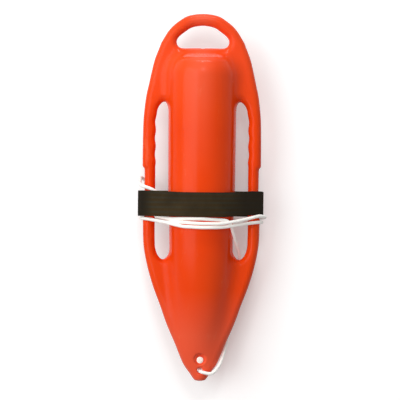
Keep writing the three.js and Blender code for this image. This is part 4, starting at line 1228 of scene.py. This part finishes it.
def webbing_material(name, dark, light, stripe_sheen, rib_pitch, weft_pitch, stripe_pitch):
    """Woven webbing: ribs and a fine weft with painted shade in their grooves, pale stripes that are partly
    weave and partly painted sheen, and painted shade on its right side and at its left end.
    """
    material, tree, shader = new_material(
        name, Roughness=0.6, Sheen_Weight=0.03, Sheen_Roughness=0.4, Specular_IOR_Level=0.1,
    )
    place = place_on(tree)
    sideways, _, _ = split(place)
    along, across, _ = split(place_on(tree, "UV"))
    rib, stripe = (
        calculate("SINE", calculate("MULTIPLY", across, math.tau / pitch))
        for pitch in (rib_pitch, stripe_pitch)
    )
    shift = calculate("MULTIPLY", calculate("SIGN", rib), math.pi / 2)
    weft = calculate("SINE", calculate("ADD", calculate("MULTIPLY", along, math.tau / weft_pitch), shift))
    # Painted shade in the weave's grooves: the colour follows the same relief as the bump.
    woven = calculate("MULTIPLY", calculate("ABSOLUTE", rib), ranged(weft, -1, 1, 0.45, 1))
    # Pale stripes, partly bands of the weave and partly a painted sheen.
    stripe_and_sheen = calculate("MULTIPLY", ranged(stripe, -0.4, 0.9, 0, 1), ranged(noise(place, 9.0), 0.3, 0.6, 0.3, 1))
    # Painted shade on the right side and at the left end.
    painted_shade_mask = calculate("MAXIMUM", *(ranged(sideways, *edges, 0, 0.8) for edges in painted_shade_places))
    share = calculate("ADD", calculate("MULTIPLY", woven, 0.6), patches(place, 22.0, 0, 0.4))
    share = calculate("MULTIPLY", share, calculate("SUBTRACT", 1.0, painted_shade_mask))
    drive(shader, Base_Color=mixed(share, colour(dark), mixed(stripe_and_sheen, colour(light), colour(stripe_sheen))))
    bump(shader, woven, 0.00035, 0.8)
    bump(shader, noise(place, 2400.0), 0.0001, 0.4)
    return material


black_webbing = webbing_material("black_webbing", "140e05", "47371b", "413f32", 0.0026, 0.0017, 0.0095)

# %% Strap path: outer ply, fold, inner ply, fold
start_along = facing(math.pi / 2 - lean_left)
strap_start = roller_point(0, strap_radius, math.pi - lean_left) + start_along * strap_start_run
arc_steps = 40
strap_step = 0.003


def arc(centre_x, radius, start, end):
    return [roller_point(centre_x, radius, angle) for angle in np.linspace(start, end, arc_steps)]


strap_line = np.array([
    strap_start,
    *arc(-handle_roller_x, strap_left_radius, math.pi - lean_left, lean_left),
    *arc(0, strap_radius, lean_left, -lean_right),
    *arc(handle_roller_x, strap_right_radius, -lean_right, lean_right - math.pi),
    *arc(0, strap_radius, lean_right - math.pi, strap_end_angle),
    strap_end,
])
strap_line = even_points(strap_line, strap_step)


def beside(line, distance):
    """A line in x and height, moved sideways; positive is out from the tube."""
    along = np.gradient(line, axis=0)
    along /= np.linalg.norm(along, axis=1)[:, None]
    return line + np.stack([-along[:, 1], along[:, 0]], axis=1) * distance


def folded_loop(line, ply_offset, fold_steps=10):
    """A closed path out along one side of a line and back along the other, with a round fold at each end."""
    outer, inner = beside(line, ply_offset), beside(line, -ply_offset)[::-1]
    folds = []
    angles = -math.pi * np.arange(1, fold_steps) / fold_steps
    for centre, spoke in ((line[-1], outer[-1] - line[-1]), (line[0], inner[-1] - line[0])):
        square_to_it = np.array([-spoke[1], spoke[0]])
        folds.append([centre + spoke * math.cos(angle) + square_to_it * math.sin(angle) for angle in angles])
    return np.array([*outer, *folds[0], *inner, *folds[1]])


def band_piece(name, path, middle_y, closed, **looks):
    """A band along a path given as x and height, with a UV map in metres."""
    path_3d = np.stack([path[:, 0], np.full(len(path), middle_y), path[:, 1] + axis_height], axis=1)
    piece = grow(name, path_mesh(name, path_3d, closed), band_tree, **looks)
    along, corners = unwrapped(piece.data, point_values(piece.data, "along"), path_length(path_3d))
    across = np.zeros(len(piece.data.vertices) * 3, np.float32)
    piece.data.vertices.foreach_get("co", across)
    lay_uv(piece.data, along, across.reshape(-1, 3)[corners, 1] - middle_y)
    return piece


# %% Strap
ply_offset = (webbing_thickness + seat_gap) / 2
strap_webbing = band_piece(
    "strap_webbing", even_points(folded_loop(strap_line, ply_offset), strap_step, closed=True), strap_y, True,
    Width=webbing_width, Thickness=webbing_thickness, Edge=0.0009, Cuts=14, Wander=0.0014, Wave=0.11,
    Material=black_webbing,
)
tail_edge_draw, tail_edge_places = 0.003, (0.03, 0.11)
nose_edge_draw, nose_edge_places = 0.0042, (0.04, 0.115)
for vertex in strap_webbing.data.vertices:
    x, y, z = vertex.co
    across = (y - strap_y) / (webbing_width / 2)
    in_front = ease(axis_height, axis_height + half_sheet, z)
    nose_edge = nose_edge_draw * ease(*nose_edge_places, x) * max(-across, 0)
    tail_edge = tail_edge_draw * (1 - ease(*tail_edge_places, abs(x))) * max(across, 0)
    vertex.co = (x, y + in_front * (nose_edge - tail_edge), max(z, 0))

# %% Tab: it lies on the strap's outer end and folds round the ring's bar
tab_centre_radius = tab_eye_radius - tab_thickness / 2
tab_offset = (tab_thickness + seat_gap) / 2
neck = math.asin(tab_offset / tab_centre_radius)
tab_bends = 36
tab_step = 0.0012


def tab_point(run, rise):
    return strap_end + strap_end_along * run + strap_end_out * rise


def tab_spoke(angle):
    return strap_end_along * math.cos(angle) + strap_end_out * math.sin(angle)


tab_line = np.array([
    tab_point(-tab_length, tab_rise - tab_offset),
    *[
        tab_point(tab_eye_run, tab_rise) + tab_centre_radius * tab_spoke(angle)
        for angle in np.linspace(neck - math.pi, math.pi - neck, tab_bends)
    ],
    tab_point(-tab_length, tab_rise + tab_offset),
])
tab_webbing = band_piece(
    "tab_webbing", even_points(tab_line, tab_step), strap_y, False,
    Width=tab_width, Thickness=tab_thickness, Edge=0.0006, Cuts=8, Wander=0.0, Wave=0.1,
    Material=black_webbing,
)

# %% [markdown]
# ### Stitches
# The tab is sewn down with a box and a cross of thread. A stitch is a small rounded grain. Geometry Nodes
# set one at each step of the seam's path, turned along it, and then make them real faces.

# %% Tree for a row of stitches
stitch_tree, given, curve = new_tree("stitch_row", ["Pitch", "Length", "Thread"])
spots = add(stitch_tree, "GeometryNodeCurveToPoints", {
    "Curve": curve, "Length": given["Pitch"],
}, mode="LENGTH").outputs
ball = add(stitch_tree, "GeometryNodeMeshUVSphere", {"Segments": 10, "Rings": 6, "Radius": 0.5})
size = add(stitch_tree, "ShaderNodeCombineXYZ", {
    "X": given["Length"], "Y": given["Thread"], "Z": given["Thread"],
})
grain = add(stitch_tree, "GeometryNodeTransform", {
    "Geometry": ball.outputs["Mesh"], "Scale": size.outputs[0],
})
turned_along = add(stitch_tree, "FunctionNodeAlignRotationToVector", {"Vector": spots["Tangent"]}, axis="X")
row = add(stitch_tree, "GeometryNodeInstanceOnPoints", {
    "Points": spots["Points"], "Instance": grain.outputs[0], "Rotation": turned_along.outputs[0],
})
close_tree(row.outputs[0], given)

# %% Box and cross on the tab
seam_inset = 0.0028
seam_start, seam_end = -tab_length + seam_inset, -seam_inset
seam_side = tab_width / 2 - seam_inset
thread = 0.0006
seam_rise = tab_rise + tab_ply / 2 + thread * 0.1
box_corners = [
    (seam_start, seam_side), (seam_end, seam_side), (seam_end, -seam_side), (seam_start, -seam_side),
]
seam_route = [box_corners[corner] for corner in (0, 1, 2, 3, 0, 2, 1, 3)]
seam_points = [tuple(on_strap_end(run, seam_rise, across)) for run, across in seam_route]
black_thread = line_material("black_thread", "3a362f", "191612", 2.0)
tab_stitches = grow(
    "tab_stitches", path_mesh("tab_stitches", seam_points), stitch_tree,
    Pitch=0.0026, Length=0.0021, Thread=thread, Material=black_thread,
)

# %% [markdown]
# ### Ring and plug
# The ring is bent from round steel wire with a straight bar, and the line tree without relief sweeps it.
# The plug is a turned body, pushed into the tail wall.

# %% Steel ring
steel, tree, shader = new_material("polished_steel", Metallic=1.0, Specular_IOR_Level=0.5)
brushed = noise(stretched(place_on(tree), (1, 14, 1)), 300.0, 4.0)
drive(
    shader,
    Base_Color=mixed(brushed, colour("b4b7bb"), colour("d4d6d8")),
    Roughness=ranged(brushed, 0.3, 0.7, 0.2, 0.34),
)
bump(shader, brushed, 0.00003, 0.3)


def ring_arc(centre_x, centre_y, radius, start, end, steps):
    angles = np.linspace(start, end, steps)
    return [(centre_x + radius * math.cos(a), centre_y + radius * math.sin(a), 0) for a in angles]


half_bar = ring_bar / 2
corner_bends = 9
bow_bends = 40
ring_loop = [
    *ring_arc(ring_corner, half_bar - ring_corner, ring_corner, math.pi, math.pi / 2, corner_bends),
    *ring_arc(ring_leg, 0, half_bar, math.pi / 2, -math.pi / 2, bow_bends),
    *ring_arc(ring_corner, ring_corner - half_bar, ring_corner, -math.pi / 2, -math.pi, corner_bends),
]
ring_path = np.array([ring_frame @ Vector(point) for point in ring_loop])
ring_step = 0.001
ring_piece = line_piece(
    "ring_wire", even_points(ring_path, ring_step, closed=True), closed=True,
    Radius=ring_wire / 2, Relief=0.0, Material=steel,
)

# %% Vent plug
plug_stem_diameter = 0.0074
plug_stem_length = 0.0116
plug_seat = plug_seat_y + seat_gap
plug_head_radius, plug_stem_radius = plug_head_diameter / 2, plug_stem_diameter / 2
plug_dimple = 0.0018
plug_rows = [
    (0, plug_stem_length, -1), (plug_stem_radius * 0.8, plug_stem_length, -1),
    (plug_stem_radius, plug_stem_length, -0.7), (plug_stem_radius, 0, 0), (plug_head_radius, 0, 0),
    (plug_head_radius, plug_head_thickness, 0.7), (plug_head_radius * 0.85, plug_head_thickness, 1),
    (plug_dimple, plug_head_thickness, 1), (plug_dimple * 0.6, plug_head_thickness, 0.7),
    (0, plug_head_thickness, 0.65),
]
plug_profile = [(radius, plug_seat + reach * share) for radius, reach, share in plug_rows]
plug_cap = turned("plug_cap", plug_profile, plug_plastic, small_edge)
plug_cap.data.transform(Matrix.Translation((0, 0, axis_height)) @ Matrix.Rotation(-math.pi / 2, 4, "X"))

# %% Foam core: the CAD node stays, with closed-cell foam on it
foam, tree, shader = new_material("cream_foam", Roughness=0.95, Specular_IOR_Level=0.2)
cells = add(tree, "ShaderNodeTexVoronoi", {"Vector": place_on(tree), "Scale": 700.0}).outputs["Distance"]
drive(shader, Base_Color=mixed(cells, colour("e2d3a6"), colour("f0e6c6")))
bump(shader, cells, 0.0004, 0.6)
foam_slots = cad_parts["foam_core"].data.materials
if len(foam_slots):
    foam_slots[0] = foam
else:
    foam_slots.append(foam)

# %% [markdown]
# ### What each piece stands for
# Every piece rides on a body of the model, names the CAD solids that it replaces and the finish it has. The
# tail of the line joins the float to the swinging ring and rides on neither.

# %% Bodies, replaced nodes and finishes
pieces = [
    (float_shell, "can", "shell", ["moulded_shell"]),
    (strap_webbing, "can", "webbing", ["shoulder_strap"]),
    (tab_webbing, "can", "webbing", ["ring_tab"]),
    (tab_stitches, "can", "twine", []),
    (plug_cap, "can", "plug", ["vent_plug"]),
    (tow_line, "can", "line", ["towline_lead", "towline_winding"]),
    (tow_hitch, "can", "line", ["towline_hitch"]),
    (line_button, "can", "line", []),
    (hitch_washer, "can", "nylon", ["stopper_washer"]),
    (tow_eye, "ring", "line", ["towline_eye"]),
    (eye_binding, "ring", "twine", ["eye_whipping"]),
    (ring_piece, "ring", "steel", ["strap_ring"]),
]
for piece, body, slot_name, stands_for in pieces:
    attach(piece, body)
    if stands_for:
        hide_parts(*stands_for)
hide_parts("towline_tail")
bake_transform(tow_tail)

# %% [markdown]
# ### Floor and light
# The float lies on white paper in soft light. A large lamp stands on the left, a small one hangs above for
# the pale band along the tube, and a low one behind the tail grip puts a glint on the tube's end. The world
# fills the shadows. To the eye, and in reflections, the world is plain white, but as a light it is weaker,
# so that pale surfaces don't clip. The paper does the same. As seen it is bright and holds the float's soft
# shadow, has a painted shade right under the float and turns plain white far away. Its glow is warmer than
# its lit colour, so its shadows get a painted pink tint. Other rays meet light grey.

# %% Floor
half_floor = 6.0
grey_paper = (0.52, 0.52, 0.52, 1)
paper_shade = (0.77, 0.9, 0.91, 1)
paper_glow = (0.48, 0.37, 0.36, 1)
# Painted shade: under the float the paper's glow drops to this share.
painted_shade_share = 0.6
float_reach = (0.12, 0.37)
float_edge = (0.85, 1.15)
paper_ends = (0.55, 1.3)


def seen_rays(tree):
    """1 for the rays that show a surface: straight ones, and those by reflection or through glass."""
    rays = add(tree, "ShaderNodeLightPath").outputs
    by_eye = calculate("MAXIMUM", rays["Is Camera Ray"], rays["Is Glossy Ray"])
    return calculate("MAXIMUM", by_eye, rays["Is Transmission Ray"])


def from_middle(place):
    return add(place.id_data, "ShaderNodeVectorMath", {0: place}, operation="LENGTH").outputs["Value"]


floor_corners = [(-half_floor, -half_floor, 0), (half_floor, -half_floor, 0)]
floor_corners += [(-x, -y, 0) for x, y, _ in floor_corners]
floor = new_piece("floor", floor_corners, [(0, 1, 2, 3)])
floor_white, tree, shader = new_material("floor_white", Roughness=0.9, Specular_IOR_Level=0.0)
shader.inputs["Base Color"].default_value = grey_paper
place = place_on(tree)
under_float = from_middle(stretched(place, (1 / float_reach[0], 1 / float_reach[1], 1)))
shaded = add(tree, "ShaderNodeBsdfDiffuse", {"Color": paper_shade})
# Painted shade under the float, where the glow is dimmer. The glow is warmer than the lit paper, so shadows
# get a painted pink tint.
glow = add(tree, "ShaderNodeEmission", {
    "Color": paper_glow, "Strength": ranged(under_float, *float_edge, painted_shade_share, 1),
})
near = add(tree, "ShaderNodeAddShader", {0: shaded.outputs[0], 1: glow.outputs[0]})
far = add(tree, "ShaderNodeEmission", {"Color": (1, 1, 1, 1)})
bright = add(tree, "ShaderNodeMixShader", {
    0: ranged(from_middle(place), *paper_ends, 0, 1), 1: near.outputs[0], 2: far.outputs[0],
})
paper = add(tree, "ShaderNodeMixShader", {0: seen_rays(tree), 1: shader.outputs[0], 2: bright.outputs[0]})
tree.links.new(paper.outputs[0], tree.nodes["Material Output"].inputs["Surface"])
paint(floor, floor_white)

# %% Lamps and world
lamps = {
    "left_lamp": {"place": (-2.0, 0.5, 2.4), "target": (0, 0, 0.05), "size": (2.8, 2.8), "power": 70},
    "top_lamp": {"place": (0.1, 1.6, 2.8), "target": (0, 0.2, 0.05), "size": (0.4, 0.9), "power": 11},
    "tail_lamp": {"place": (0.15, 2.7, 0.85), "target": (0, 0.2, 0.05), "size": (1.5, 0.2), "power": 30},
}
for name, settings in lamps.items():
    data = bpy.data.lights.new(name, "AREA")
    data.shape, data.energy = "RECTANGLE", settings["power"]
    data.size, data.size_y = settings["size"]
    lamp = link_object(name, data)
    lamp.location = settings["place"]
    beam = Vector(settings["target"]) - Vector(settings["place"])
    lamp.rotation_euler = beam.to_track_quat("-Z", "Y").to_euler()
world = bpy.data.worlds.new("studio")
world.use_nodes = True
bpy.context.scene.world = world
world_fill, world_seen = 0.26, 1.0
sky = world.node_tree.nodes["Background"]
sky.inputs["Color"].default_value = (1, 1, 1, 1)
drive(sky, Strength=ranged(seen_rays(world.node_tree), 0, 1, world_fill, world_seen))
print(f"studio: {len(lamps)} lamps and a white world")
